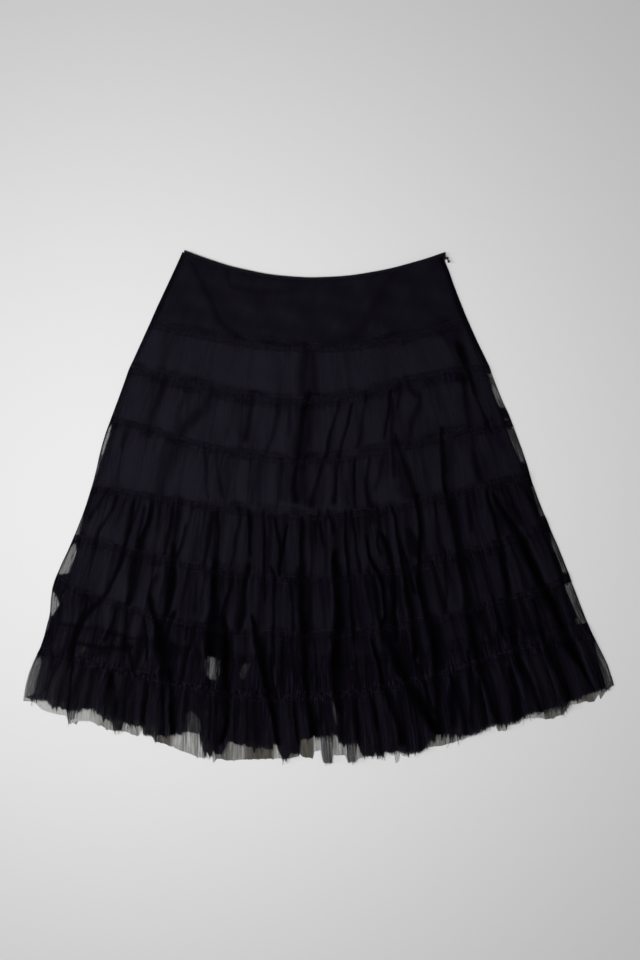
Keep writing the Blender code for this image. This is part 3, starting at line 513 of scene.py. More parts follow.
def grid(name, columns, rows):
    """A new grid, and the x and y of its points, from -1 to 1."""
    bpy.ops.object.select_all(action="DESELECT")
    bpy.ops.mesh.primitive_grid_add(x_subdivisions=columns, y_subdivisions=rows, size=2)
    made = bpy.context.object
    made.name = name
    flat = np.empty(len(made.data.vertices) * 3)
    made.data.vertices.foreach_get("co", flat)
    return made, flat[0::3], flat[1::3]


def lay(mesh, x, y, z, along, across):
    """Put a grid's points in their places, with where they are on the flat cloth, in metres, as its UV map."""
    mesh.vertices.foreach_set("co", (np.stack([x, y, z], 1) * MM).ravel())
    corners = np.empty(len(mesh.loops), np.int32)
    mesh.loops.foreach_get("vertex_index", corners)
    mesh.uv_layers.active.data.foreach_set("uv", np.stack([along, across], 1)[corners].ravel())


def cloth(name, columns, rows, place, cut, facing_up=True):
    """A sheet of cloth in its place. What its place says of each point, such as how many layers lie there, becomes its
    attributes."""
    sheet, along, across = grid(name, columns, rows)
    x, y, z, marks = place((along + 1) / 2, (1 - across) / 2)
    mesh = sheet.data
    lay(mesh, x, y, z, (along + 1) / 2 * cut[0], (across + 1) / 2 * cut[1])
    for mark, values in marks.items():
        mesh.attributes.new(mark, "FLOAT", "POINT").data.foreach_set("value", np.asarray(values, np.float32))
    if not facing_up:
        mesh.flip_normals()
    mesh.shade_smooth()
    mesh.update()
    return sheet


class Socket:
    """An output of a material's nodes. Arithmetic on it adds the Math nodes that work it out."""

    def __init__(self, tree, output=None):
        self.tree, self.output = tree, output

    def node(self, kind, settings=(), inputs=(), output=0):
        """Any node: its type, its settings, which are set first, and the values or links of its sockets."""
        made = self.tree.nodes.new(kind)
        for name, value in dict(settings).items():
            setattr(made, name, value)
        for name, value in dict(inputs).items():
            if isinstance(value, Socket):
                self.tree.links.new(value.output, made.inputs[name])
            else:
                made.inputs[name].default_value = value
        return Socket(self.tree, made.outputs[output])

    def math(self, operation, *values):
        return self.node("ShaderNodeMath", {"operation": operation}, dict(enumerate(values)))

    def __add__(self, other):
        return self.math("ADD", self, other)

    def __mul__(self, other):
        return self.math("MULTIPLY", self, other)

    def __sub__(self, other):
        return self.math("SUBTRACT", self, other)

    def __rsub__(self, other):
        return self.math("SUBTRACT", other, self)

    def __rpow__(self, other):
        return self.math("POWER", other, self)

    __radd__, __rmul__ = __add__, __mul__

    def clamped(self):
        return self.math("MINIMUM", self.math("MAXIMUM", self, 0.0), 1.0)


def new_material(name, roughness, specular, sheen=0.0):
    """A material, a Socket to make its nodes with, and its shader."""
    material = bpy.data.materials.new(name)
    material.use_nodes = True
    shader = material.node_tree.nodes["Principled BSDF"]
    shader.inputs["Roughness"].default_value = roughness
    shader.inputs["Specular IOR Level"].default_value = specular
    shader.inputs["Sheen Weight"].default_value = sheen
    shader.inputs["Sheen Roughness"].default_value = 0.5
    return material, Socket(material.node_tree), shader


def woven(nodes):
    """Where a place is on its flat cloth, in metres: as a vector, along the cloth, and across it."""
    weave = nodes.node("ShaderNodeUVMap", {"uv_map": "UVMap"})
    return weave, *(nodes.node("ShaderNodeSeparateXYZ", inputs={"Vector": weave}, output=axis) for axis in (0, 1))


def noise(nodes, place, scale, detail):
    """Noise at a place, finer along one of its axes where there is a scale for each."""
    if isinstance(scale, tuple):
        place, scale = nodes.node("ShaderNodeMapping", inputs={"Vector": place, "Scale": (*scale, 1)}), 1.0
    return nodes.node("ShaderNodeTexNoise", inputs={"Vector": place, "Scale": scale, "Detail": detail})


def mixed(nodes, factor, first, second, way="MIX"):
    """Two colours, mixed by a factor. Sockets 6, 7 and 2 are the Mix node's two colours and its result."""
    settings = {"data_type": "RGBA", "blend_type": way}
    return nodes.node("ShaderNodeMix", settings, {"Factor": factor, 6: first, 7: second}, output=2)


def paint(nodes, shader, colour, relief, strength, distance, **others):
    """Link a material's colour and relief, and others of its shader's inputs, to its shader."""
    bump = nodes.node("ShaderNodeBump", inputs={"Strength": strength, "Distance": distance, "Height": relief})
    for name, value in {"Base Color": colour, "Normal": bump, **others}.items():
        nodes.tree.links.new(value.output, shader.inputs[name])


# The net: threads round six-sided holes, finer where it is gathered. It lets light through between its threads, less
# where more layers lie on each other, and a stack of layers looks darker than one. Shade is painted into its colour
# along its folds and furrows, and a painted highlight makes it paler beside its folds and in a few other places.
NET_PITCH = 0.0013
NET_SEES_THROUGH = 0.67  # of one layer
FEWEST_LAYERS = 0.45  # as a net is stretched thin
tulle, nodes, shader = new_material("black_tulle", roughness=0.75, specular=0.004)
weave, along, across = woven(nodes)
wave_number = 4 * math.pi / math.sqrt(3) / NET_PITCH
ripples = 0.0
for turn in np.radians((0, 60, 120)):
    direction = along * float(wave_number * math.cos(turn)) + across * float(wave_number * math.sin(turn))
    ripples = direction.math("COSINE", direction) + ripples
thread = ((ripples + 0.85) * (-1 / 0.6) + 0.5).clamped()
layers, fold, gather, heading, bare = (
    nodes.node("ShaderNodeAttribute", {"attribute_name": name}, output="Fac")
    for name in ("layers", "fold", "gather", "heading", "bare")
)
streaks, fine_streaks, panels, puckers, clouds = (
    noise(nodes, weave, scale, detail) - 0.5
    for scale, detail in (((290, 18), 2.0), ((540, 45), 1.0), ((85, 9), 2.0), ((360, 150), 2.0), ((60, 45), 3.0))
)
thick = layers + gather * (streaks * 9.0 + fine_streaks * 6.0 + panels * 5.0) + heading * puckers * 10.0 + clouds * 0.6
thick = thick.math("MAXIMUM", thick, FEWEST_LAYERS)
clear = NET_SEES_THROUGH ** (thick - 1.0)
cover = 1.0 - (1.0 - thread) * clear
# painted shade: the colour darkens along the net's folds and furrows, and lightens where the fold share is below 0
painted_fold_shade = fold * (fine_streaks * 1.2 + 1.0)
rough = gather * (streaks * 3.4 + fine_streaks * 3.0 + panels * 1.6) + heading * puckers * 6.0 + 1.0
shade = (clear * NET_SEES_THROUGH + 1.0) * 0.6 * (math.e ** (painted_fold_shade * -1.9)) * rough.math("MAXIMUM", rough, 0.2)
dye = mixed(nodes, bare, (0.0054, 0.0043, 0.0081, 1), (0.026, 0.022, 0.006, 1))  # bare net on the floor is brownish
colour = mixed(nodes, 1.0, dye, shade, "MULTIPLY")
relief = streaks * 0.8 + clouds * 0.6 + thread * 0.1
paint(nodes, shader, colour, relief, strength=0.5, distance=0.001, Alpha=cover)

# The raw hems, cut unevenly and frayed: x and y of points along each, and for the back how many layers of net lie there
# on the floor, below the front's hem.
FRONT_HEM = (
    (-415, -268), (-403.7, -268.6), (-397.4, -269.4), (-381.9, -271), (-374.1, -277.2), (-372.2, -283.9),
    (-370.2, -279.5), (-361.7, -280.3), (-358.6, -283), (-355.1, -281.1), (-352.3, -283), (-351.1, -293.5),
    (-349.2, -304.1), (-348, -295.9), (-339.9, -288.9), (-335.2, -283), (-332.1, -281.9), (-325.9, -284.2),
    (-319.7, -281.1), (-311.1, -284.2), (-309.6, -292), (-307.2, -288.9), (-304.1, -291.2), (-301, -296.6),
    (-288.6, -298.2), (-287.3, -311.9), (-276.4, -311.9), (-275.3, -310.6), (-273, -299.8), (-263.7, -304.4),
    (-257.4, -306), (-246.6, -304.7), (-245.3, -318), (-232.6, -320.5), (-229.8, -327.4), (-227.1, -328.1),
    (-226, -320), (-207.7, -320), (-206.1, -316.9), (-192.1, -318.4), (-189.8, -313.8), (-167.2, -315.3),
    (-165, -330.9), (-164.1, -320), (-162.7, -349.5), (-161.3, -335.5), (-159.6, -351.4), (-158.9, -351.1),
    (-158, -343.3), (-157.1, -349.5), (-156.3, -341), (-155.6, -343.3), (-154.5, -344.1), (-153.8, -348),
    (-152.4, -348), (-151.4, -350.3), (-150.1, -341.8), (-149.4, -348.8), (-148.6, -338.6), (-141.7, -348),
    (-135.5, -343.3), (-133, -340.2), (-126.5, -326.2), (-121.5, -326.2), (-119.2, -330.9), (-112.2, -331.2),
    (-104.4, -329.3), (-102, -334), (-96.6, -335.5), (-73.3, -337.1), (-65.5, -337.9), (-63.6, -330.9),
    (-59.3, -329.6), (-57.4, -338.6), (-51.5, -352.3), (-43.7, -349.5), (-37.5, -343.3), (-31.3, -344.9),
    (-27.2, -348.3), (-25.8, -324.6), (-9.5, -323.1), (-7.9, -320), (-0.2, -321.5), (2, -318.4), (3.9, -343.3),
    (5.8, -356.5), (7.9, -359), (17, -359), (18.5, -357.3), (19.8, -318.4), (26.3, -320), (28.2, -327.8),
    (34.1, -330.9), (39, -331.8), (40, -357), (50.6, -357.6), (51.8, -343.3), (53.7, -329.3), (55.8, -337.1),
    (59, -346.4), (60.8, -349.5), (66.7, -348), (76.1, -348), (77.9, -341.8), (80.7, -346.7), (90.1, -348),
    (91.9, -342.1), (97.8, -343.3), (104.8, -343.5), (107.2, -341.8), (113.4, -342.1), (115.5, -344.2),
    (129.8, -343.5), (145.9, -340.9), (149.1, -335.2), (152, -329), (158.4, -324), (161.1, -328.6), (162, -320.8),
    (169.2, -316.2), (170.6, -317), (172, -328), (173.4, -317), (176, -317), (177.4, -329), (178.8, -317),
    (181.7, -316.1), (183.1, -327.9), (184.5, -319.6), (186, -319.4), (187.4, -330), (188.8, -319), (192.4, -318.7),
    (193.6, -327.2), (194.8, -319.3), (206.7, -319.1), (215.7, -316.4), (224.6, -313.8), (231.8, -310.5),
    (240.7, -304.2), (248.2, -303.4), (251, -304), (251.6, -312), (252.8, -304.4), (260.6, -303.4), (262, -312),
    (263.4, -302), (278.3, -300), (285.4, -292.4), (296.2, -288.7), (310.5, -285), (316.4, -281.8), (326, -279.6),
    (333.5, -276.4), (335.2, -284.5), (336.6, -276), (340, -284.5), (342, -275.4), (344.8, -281), (346.3, -273),
    (349.6, -272.6), (358.7, -269.2), (370.1, -263.6), (378.1, -260.2), (389.5, -256.7), (402, -254.4),
    (414.2, -250.2),
)
BACK_HEM = (
    (-413, -272.5, 1.6), (-403.7, -272.5, 1.6), (-399, -274.1, 0.6), (-389.7, -284.2, 0.5), (-374.1, -289.2, 0.6),
    (-361.7, -292, 0.7), (-355.4, -292.8, 0.7), (-353.1, -296.6, 1.2), (-350.8, -302.6, 2.6), (-349.2, -304.4, 2.6),
    (-344.6, -302.4, 2.6), (-340.7, -304.9, 2.4), (-338.6, -301.8, 1), (-336.8, -300.1, 0.9), (-325.9, -300.1, 1.1),
    (-319.7, -300.7, 1.1), (-311.9, -304.7, 1.2), (-305.7, -306.9, 2.0), (-297.9, -312.2, 1.8), (-288.6, -313.8, 2.0),
    (-276.1, -314.7, 2.2), (-273, -315, 1.6), (-265.2, -316.9, 1.5), (-263.7, -318.7, 1.5), (-254.3, -320.9, 1.8),
    (-251.2, -320, 0.8), (-249.4, -313, 0.8), (-246.9, -313, 0.8), (-245.8, -320.9, 0.8), (-235.7, -322.5, 0.8),
    (-232.6, -323.7, 0.8), (-231.6, -314.1, 0.8), (-230.4, -314.1, 2), (-229.1, -328.7, 3.6), (-218.6, -331.8, 3.4),
    (-208.3, -335.5, 3.2), (-206.7, -335.8, 1.7), (-195.2, -341.1, 1.5), (-179.7, -346.4, 1.7), (-170.3, -351.1, 1.7),
    (-161, -353, 1.6), (-160.3, -353.3, 1.6), (-158.5, -349.5, 1.6), (-157.8, -349.8, 2.2), (-157.1, -343.3, 1.4),
    (-156.3, -343.3, 2), (-155.4, -348.3, 1.2), (-150.4, -349.5, 1), (-149.7, -349.8, 1.2), (-149, -359, 1.1),
    (-148.3, -359, 1), (-143.3, -353, 2.6), (-141.6, -353.4, 2.2), (-137, -353, 2.8), (-133, -354.5, 3.0),
    (-130.8, -355.8, 3.0), (-121, -355.1, 1.8), (-106, -354.5, 1.8), (-102, -354.2, 3.2), (-79.5, -353.6, 3.6),
    (-65.5, -353, 3.4), (-63.2, -353, 1.3), (-54.6, -352.8, 1.2), (-51.2, -353.6, 2.4), (-39, -352, 2.4),
    (-28.2, -349.8, 2.4), (-27.2, -345.6, 2.6), (-23.5, -350.5, 3.4), (-11, -352.6, 3.4), (-8.2, -352.6, 3.0),
    (-7, -343.3, 1.2), (2, -340.5, 1.2), (3.3, -349.5, 1), (5.8, -358.9, 1.2), (17, -359, 1.2), (18.8, -358.9, 0.8),
    (20.1, -348.3, 1.5), (37.2, -348, 1.7), (39, -355.8, 1), (51.2, -358.2, 1.2), (54.3, -354.5, 1.2),
    (59, -351.4, 1.6), (66.7, -349.8, 1.6), (76.1, -349.8, 1.2), (90.1, -348.3, 1.2), (92.2, -343.6, 1),
    (105.3, -343.6, 1), (106, -349.5, 1), (106.7, -355.8, 1), (107.4, -359, 1), (108.3, -359, 1), (109, -359, 1),
    (112.2, -355.8, 1), (112.9, -356.7, 0.9), (113.6, -345.6, 1), (119.1, -349.9, 1.2), (131.6, -346.3, 1.4),
    (147.3, -340.2, 1.6), (153.1, -337.4, 2.2), (171, -334.7, 2.1), (188.8, -330.2, 1.9), (199.6, -326.6, 1.3),
    (213.9, -321.3, 1.3), (231.8, -314.1, 1.3), (235.4, -310.5, 1.3), (247.9, -307, 1.4), (251.1, -314.1, 2),
    (262.2, -314.1, 1.6), (264.3, -305.9, 1.2), (279.7, -304.1, 1), (287.2, -298, 0.9), (296.2, -296.2, 0.8),
    (312.3, -295.9, 1.2), (318, -298, 2.6), (328.4, -296.2, 2.7), (342.7, -290.9, 2.6), (348.1, -283.7, 1.6),
    (351.6, -278.3, 1.4), (364.2, -275.5, 1.4), (371.4, -272.3, 2.4), (373, -272.9, 3), (385.6, -273.7, 3),
    (392.8, -261.9, 1.6), (394.6, -270.1, 2.4), (403.5, -256.9, 1.6), (414.2, -249.7, 1.6),
)


def layered(share, values):
    """How many layers of net lie on each other, at shares of a tier's width."""
    return np.interp(share, (0.0, 0.12, 0.5, 0.88, 1.0), (values[0],) * 2 + (values[1],) + (values[2],) * 2)


FRONT, BACK = 0, 1
# How many more layers lie, at the front and at the back, in a fold of the net, past the underskirt's sides, where the
# net is turned in, and in its folded edges.
FOLD_LAYERS = (4.5, 3.0)
SIDE_LAYERS = (3.3, 3.2)
RIM_LAYERS = (1.1, 1.2)
# Light shows through where few layers of net lie on each other: how many, at the front and at the back, and then the
# outline of the place.
OPENINGS = [
    (1.6, 1.7, (-157, -207), (-152.6, -208.4), (-143.6, -210), (-142.6, -221.2), (-143, -243.6), (-151.5, -242.4),
     (-157.2, -237), (-159.2, -230.6), (-156, -218.8)),
    (2.6, 2.6, (-162, -213.1), (-155.5, -213.6), (-154.3, -221.2), (-158.5, -231.7), (-161.3, -229.3)),
    (2.7, 2.7, (-142.7, -213.1), (-137.5, -214.2), (-139.2, -232.8), (-142.7, -242.2)),
    (2.4, 2.6, (-108.5, -218.8), (-95, -218.6), (-99.3, -229), (-102.5, -238), (-105.5, -243), (-112, -241),
     (-111.8, -231.7), (-108.8, -225.8)),
    (2.3, 2.5, (-179.6, -284.2), (-175, -287.3), (-167.2, -295.1), (-165, -304.4), (-164.1, -315.3), (-189, -315.3),
     (-185.9, -288.8)),
    (2.1, 2.1, (17, -266), (18.4, -266), (21.6, -278), (25, -297), (25.6, -304), (21.6, -302), (19, -284)),
    (2.4, 2.4, (44.5, -221.5), (48, -223), (48, -226), (44.5, -226.5)),
    (2.9, 2.9, (136.5, -209), (139.2, -209.5), (139.6, -219), (137, -219.5)),
    (3.0, 3.0, (236, -201), (240, -202), (240, -207.5), (236, -207)),
    # The edge at the left, where the net lies past the underskirt.
    (0.9, 0.9, (-293.4, 115.5), (-290.5, 114.2), (-292.2, 103.3), (-298.3, 86.4), (-303.1, 71.8), (-308, 64.5),
     (-304.3, 86.4), (-299, 103.3)),
    (2.0, 2.1, (-307, 72), (-303, 72), (-312, 44), (-327, 2), (-333.5, -6), (-324, 20)),
    (1.9, 2.1, (-334, -13), (-330, -14), (-336, -40), (-341, -48), (-347, -48), (-341, -30)),
    (1.0, 1.1, (-340.5, -49), (-339.2, -63.4), (-342.9, -80.4), (-347.6, -92.5), (-358.5, -94.9), (-366, -93.8),
     (-360, -78), (-350.1, -58)),
    (0.8, 0.9, (-373.4, -116.8), (-367.1, -125.2), (-363.4, -136.1), (-368.2, -145.7), (-374.2, -153), (-378, -150),
     (-377.5, -128.8)),
    (1.8, 1.9, (-351.3, -111.9), (-352.5, -123.9), (-356.2, -136.1), (-360.9, -131.2), (-358.5, -121.5)),
    (1.7, 1.7, (-377.5, -152), (-375, -153), (-379, -172), (-383, -174)),
    (1.5, 1.7, (-390, -207.5), (-388.8, -218.4), (-394.8, -245), (-398.4, -262), (-414, -268), (-411, -245),
     (-399.5, -216)),
    # The edge at the right.
    (1.6, 1.7, (232, 196), (242, 196), (248, 180), (256, 160), (264.5, 139.5), (255, 137.6), (251, 141), (242.4, 158),
     (241, 172)),
    (2.0, 2.1, (259, 126), (269, 122), (281, 98), (293, 62), (282.5, 61.5), (271.4, 84), (262, 107)),
    (1.8, 1.9, (296.5, 30), (303, 30), (310, 12), (319, -12.5), (309.5, -13.5), (304.6, 2), (300.4, 17)),
    (1.8, 1.8, (323, -37), (329, -37), (337, -52), (345, -70), (353, -89.5), (347, -93.5), (340.4, -92.4),
     (336.4, -80), (332.6, -70), (325.4, -53)),
    (1.7, 1.7, (342, -104.5), (357, -104.5), (366, -128), (377.5, -159.5), (373, -163.8), (359.6, -165),
     (352, -145.3), (346, -126)),
    (1.8, 1.9, (385, -184), (390, -184), (401, -204), (410, -224), (418, -254), (401.6, -256), (398.5, -240),
     (394.5, -227), (389, -209)),
    # Single strips of net that hang below the front's hem.
    (3.0, 0.8, (3, -320), (18.5, -320), (18.5, -364), (3, -364)),
    (2.9, 0.9, (39.5, -330.8), (51.3, -330.8), (51.3, -364), (39.5, -364)),
    (2.2, 0.6, (-352.4, -285.7), (-335.2, -283.4), (-339.9, -301.3), (-349.2, -306)),
]
OPENING_EDGE = 0.8  # how far the change spreads to either side of an outline


def opened(x, y, net, which):
    """The layers of net, fewer inside the openings of the front or the back."""
    net = net.copy()
    for opening in OPENINGS:
        outline = np.array(opening[2:])
        low, high = outline.min(0) - 2 * OPENING_EDGE, outline.max(0) + 2 * OPENING_EDGE
        near = (x > low[0]) & (x < high[0]) & (y > low[1]) & (y < high[1])
        if not near.any():
            continue
        here = np.stack([x[near], y[near]], 1)
        inside, away = np.zeros(len(here), bool), np.full(len(here), 99.0)
        for start, end in zip(outline, np.roll(outline, -1, 0)):
            run = end - start
            crossing = start[0] + (here[:, 1] - start[1]) / (run[1] or 1.0) * run[0]
            inside ^= ((start[1] > here[:, 1]) != (end[1] > here[:, 1])) & (here[:, 0] < crossing)
            share = np.clip((here - start) @ run / (run @ run), 0, 1)
            away = np.minimum(away, np.hypot(*(here - start - share[:, None] * run).T))
        depth = np.where(inside, away, -away) + 0.4 * np.sin(here[:, 0] * 1.3 + here[:, 1] / 2.1)  # a wavy outline
        net[near] += (opening[which] - net[near]) * between(-OPENING_EDGE, OPENING_EDGE, depth)
    return net


def past_lining(x, v, top, bottom):
    """How far beyond the underskirt's side edges a place is, at this share of the way down a tier."""
    v = np.clip(v, 0, 1)
    left = (top.x_left + top.inset_left) * (1 - v) + (bottom.x_left + bottom.inset_left) * v
    right = (top.x_right - top.inset_right) * (1 - v) + (bottom.x_right - bottom.inset_right) * v
    return np.maximum(left - x, x - right)


def below_lining(x, y, stray=0.0):
    """How far below the underskirt's hem a place is."""
    hem = LINES["lining_hem"]
    return line_height(hem, (x - hem.x_left) / (hem.x_right - hem.x_left)) + stray - y


def back_place(number):
    """What gives the x, y, z and attributes of a tier's back, at shares of its width and of the way down it."""
    tier = TIERS[number]
    top, bottom = lines_of(tier, at_back=True)
    start, flap = run_of(number)
    is_hem = tier.bottom == "hem"

    def place(share, down):
        y_top, y_bottom = line_height(top, share), line_height(bottom, share)
        if is_hem:
            y_bottom = ragged(share, top, bottom, BACK_HEM, seed=71, swing=0.3, tips=0.2, lowest=-359.6)
        depth = y_top - y_bottom
        below = start + down * (depth + flap - start)
        v = below / depth
        left, right = side(v, top, bottom, -1), side(v, top, bottom, 1)
        x = left + (right - left) * share
        y = y_top - below
        width = bottom.x_right - bottom.x_left
        rise = pinch = fine = fine_pinch = 0.0
        if number:
            reach = (15, 60 + 12 * number)
            rise, pinch = pleats(share, below, width, int(width / 9), seed=40 + number, reach=reach, thin=1.8)
            count = int(width / 4.2)
            fine, fine_pinch = pleats(share, below, width, count, seed=50 + number, reach=(7, 20), thin=1.2)
        relief, fold, _ = furrowed(-x, y)
        z = 0.5 + 0.45 * rise + 0.12 * fine + 0.06 * np.clip(relief, -2.4, 2.4)
        z += 0.18 * between(0, 4, below - depth) - 0.1 * between(-6, 0, below - depth)
        # painted shade in the back's folds and pinches, as at the front but weaker
        fold = 0.5 * fold + 0.06 * number * pinch + 0.15 * fine_pinch
        net, bare = layered(share, tier.back_net) + FOLD_LAYERS[BACK] * fold, np.zeros_like(x)
        if is_hem:
            hem = np.array(BACK_HEM)
            bare = between(-2.0, 3.0, np.interp(x, *np.array(FRONT_HEM).T) - y)
            net = net + (np.interp(x, hem[:, 0], hem[:, 2]) + 0.5 * fold - net) * bare
        else:
            net = net + SIDE_LAYERS[BACK] * between(-1.5, 1.0, past_lining(x, v, top, bottom))
        heading = in_heading(tier.top, x, -below) if number else np.zeros_like(x)
        net = net + 0.5 * heading + 2.2 * between(-7.0, -1.0, below_lining(x, y)) * (number == RUFFLE - 1)
        rim = np.exp(-((np.minimum(x - left, right - x) / SIDE_FOLD) ** 2))
        net = opened(x, y, net, BACK) + RIM_LAYERS[BACK] * rim
        return x, y, z, {"layers": net, "fold": fold, "gather": np.full_like(x, 0.4), "heading": heading, "bare": bare}

    return place


for number, tier in enumerate(TIERS):
    top, bottom = lines_of(tier, at_back=True)
    width, depth = bottom.x_right - bottom.x_left, top.y_middle - bottom.y_middle
    cut = (width * tier.cut * MM, (depth + run_of(number)[1]) * MM)
    steps = (1.2, 2.4) if tier.bottom == "hem" else (2.4, 3.5)  # the hem shows, and so is finer
    columns, rows = int(width / steps[0]), int(depth / steps[1])
    piece = cloth(f"{tier.name}_back_net", columns, rows, back_place(number), cut, facing_up=False)
    piece.data.materials.append(tulle)
    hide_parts(f"{tier.name}_back")
    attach(piece, "skirt")


# ---- The underskirt: an opaque plain-woven skirt in two flat panels between the nets of the back and the front. It is
# shorter than the net and a little narrower, has a turned hem, and shows through the net as a paler black.
YARN = 0.0005
LINING_CUT, LINING_AREA = (0.733, 0.5395), 0.311
lining, nodes, shader = new_material("black_lining", roughness=0.6, specular=0.04, sheen=0.01)
weave, along, across = woven(nodes)
over = along.math("SINE", along * (2 * math.pi / YARN)) * along.math("SINE", across * (2 * math.pi / YARN))
broad = noise(nodes, weave, (14, 9), 4.0)
shades = (0.0113, 0.0097, 0.0168, 1), (0.0151, 0.0134, 0.0212, 1)
colour = mixed(nodes, (broad + over * 0.12 - 0.1).clamped(), *shades)
paint(nodes, shader, colour, over * 0.5 + broad, strength=0.4, distance=0.0002)

LINING_SEAMS = "waist yoke_seam seam_2 seam_3 seam_4 seam_5 seam_6 lining_hem".split()


def lining_place(level):
    """What gives the x, y and z of a panel at this level, at shares of its width and of the way down it."""
    lines = [LINES[name] for name in LINING_SEAMS]
    downs = np.array([line.y_middle for line in lines])
    knots = (downs[0] - downs) / (downs[0] - downs[-1])

    def place(share, down):
        down = 0.006 + down * 0.994  # its upper edge is inside the waist's binding
        heights = np.stack([line_height(line, share) for line in lines])
        lefts = np.array([line.x_left + line.inset_left for line in lines])
        rights = np.array([line.x_right - line.inset_right for line in lines])
        left, right = np.interp(down, knots, lefts), np.interp(down, knots, rights)
        x = left + (right - left) * share
        step = np.clip(np.searchsorted(knots, down, side="right") - 1, 0, len(knots) - 2)
        part = (down - knots[step]) / (knots[step + 1] - knots[step])
        column = np.arange(len(share))
        y = heights[step, column] * (1 - part) + heights[step + 1, column] * part
        sag = np.sin(x / 31.0 + y / 90.0) + np.sin(x / 17.0 - y / 60.0 + 2.0)
        hem = between(-13.0, -11.5, (down - 1) * (downs[0] - downs[-1]))
        z = level + 0.1 * sag + 0.12 * hem
        return x, y, z, {}

    return place


for name, level in (("underskirt_back", 1.95), ("underskirt_front", 3.2)):
    piece = cloth(name, 120, 90, lining_place(level), LINING_CUT, facing_up="front" in name)
    solid = piece.modifiers.new("Thickness", "SOLIDIFY")
    solid.thickness = 0.35 * MM
    solid.offset = 0
    bpy.ops.object.modifier_apply(modifier=solid.name)
    piece.data.materials.append(lining)
    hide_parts(name.replace("underskirt", "lining"))
    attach(piece, "skirt")


# ---- The front of the skirt: the same eight pieces, lying on the underskirt. The yoke is plain and doubled, and each
# tier is a straight strip, gathered onto the one above, so that its folds stand up and catch the light. Between
# them the net lies double, with more layers, and shade is painted into its colour there.
ON_LINING, ON_BACK = 4.7, 2.1  # how high the net lies on the underskirt, and past its edges
BAND = 10.0  # how far down a tier its gathers are held flat
ZIP_NOTCH = 2.4  # how far the yoke's edge stands back beside the zip
UNDERLAP = 0.6  # how far past the underskirt's edge the net starts to sink
EDGE_FADE = 28.0  # how far in from the sides the folds reach their full height
PATCHES = (0.5, 0.2, 0.3, 0.35, 0.9, 1.1, 1.2, 1.0)  # of each tier: how many more layers lie in its darker patches
# GATHERS also sets how much shade is painted into the furrows between the gathers.
GATHERS = (0.0, 0.08, 0.16, 0.22, 0.45, 0.5, 0.46, 0.3)  # how deep the furrows between its gathers are
CREASING = (0.24, 0.3, 0.5, 0.6, 0.9, 0.95, 0.95, 0.85)  # and how finely creased its net is
Spot = namedtuple("Spot", "x y z net fold gather heading rim depth")


def waves(count, seed):
    """The big gathers of a tier, as its solid has them: where each starts and ends across it, and its height."""
    chance = random.Random(seed)
    widths = [chance.uniform(0.72, 1.28) for _ in range(count)]
    crests = [chance.uniform(0.6, 1.15) for _ in range(count)]
    return np.concatenate(([0.0], np.cumsum(widths))) / sum(widths), np.array(crests)


def gathered(number, share, below, v, within, breadth, settle):
    """How high a tier's large, small and fine gathers raise it, how deep the net folds between them, and how deep in
    the finest. within is the share of its gathered width, and settle goes to 0 where it is sewn flat again below."""
    tier = TIERS[number]
    top, bottom = lines_of(tier)
    edges, crests = waves(tier.waves, number)
    place = np.interp(within, edges, np.arange(tier.waves + 1))
    wave = np.clip(place.astype(int), 0, tier.waves - 1)
    crest = crests[wave] * np.sin(np.pi * np.clip(place - wave, 0, 1)) ** 0.9
    foot = BAND / (top.y_middle - bottom.y_middle)
    swell = np.interp(v, (0, foot, 0.55, 1), (0.25, 0.5, 1.0, 1.25 if number == RUFFLE else 0.25))
    width = bottom.x_right - bottom.x_left
    reach, fine_reach = (14, 30 + 14 * number), (6, 18 + 6 * number)
    rise, pinch = pleats(share, below, width, int(width / 9.5), seed=number, reach=reach, thin=2.4)
    fine, fine_pinch = pleats(share, below, width, int(width / 4.6), seed=20 + number, reach=fine_reach, thin=1.5)
    height = tier.height * crest * swell + (0.35 + 0.13 * number) * rise * settle + 0.3 * fine
    edge = np.clip(np.rint(place).astype(int), 0, tier.waves)
    off = (within - edges[edge]) * breadth / (3.2 + 1.6 * np.sin(below / 19.0 + edge * 2.3))
    trough = fold_line(np.where(edge % 2, off, -off))
    chance = np.random.default_rng(60 + number)
    trough = trough * chance.uniform(0.1, 1.0, tier.waves + 1)[edge] * (0.6 + 0.4 * settle)
    return height, joined(trough, 0.8 * pinch * (0.3 + 0.7 * settle)), fine_pinch


def heading_layers(seam):
    """How many more layers lie in a seam's gathered heading at the front."""
    return 0.9 + 1.1 * HEADINGS[seam].dark


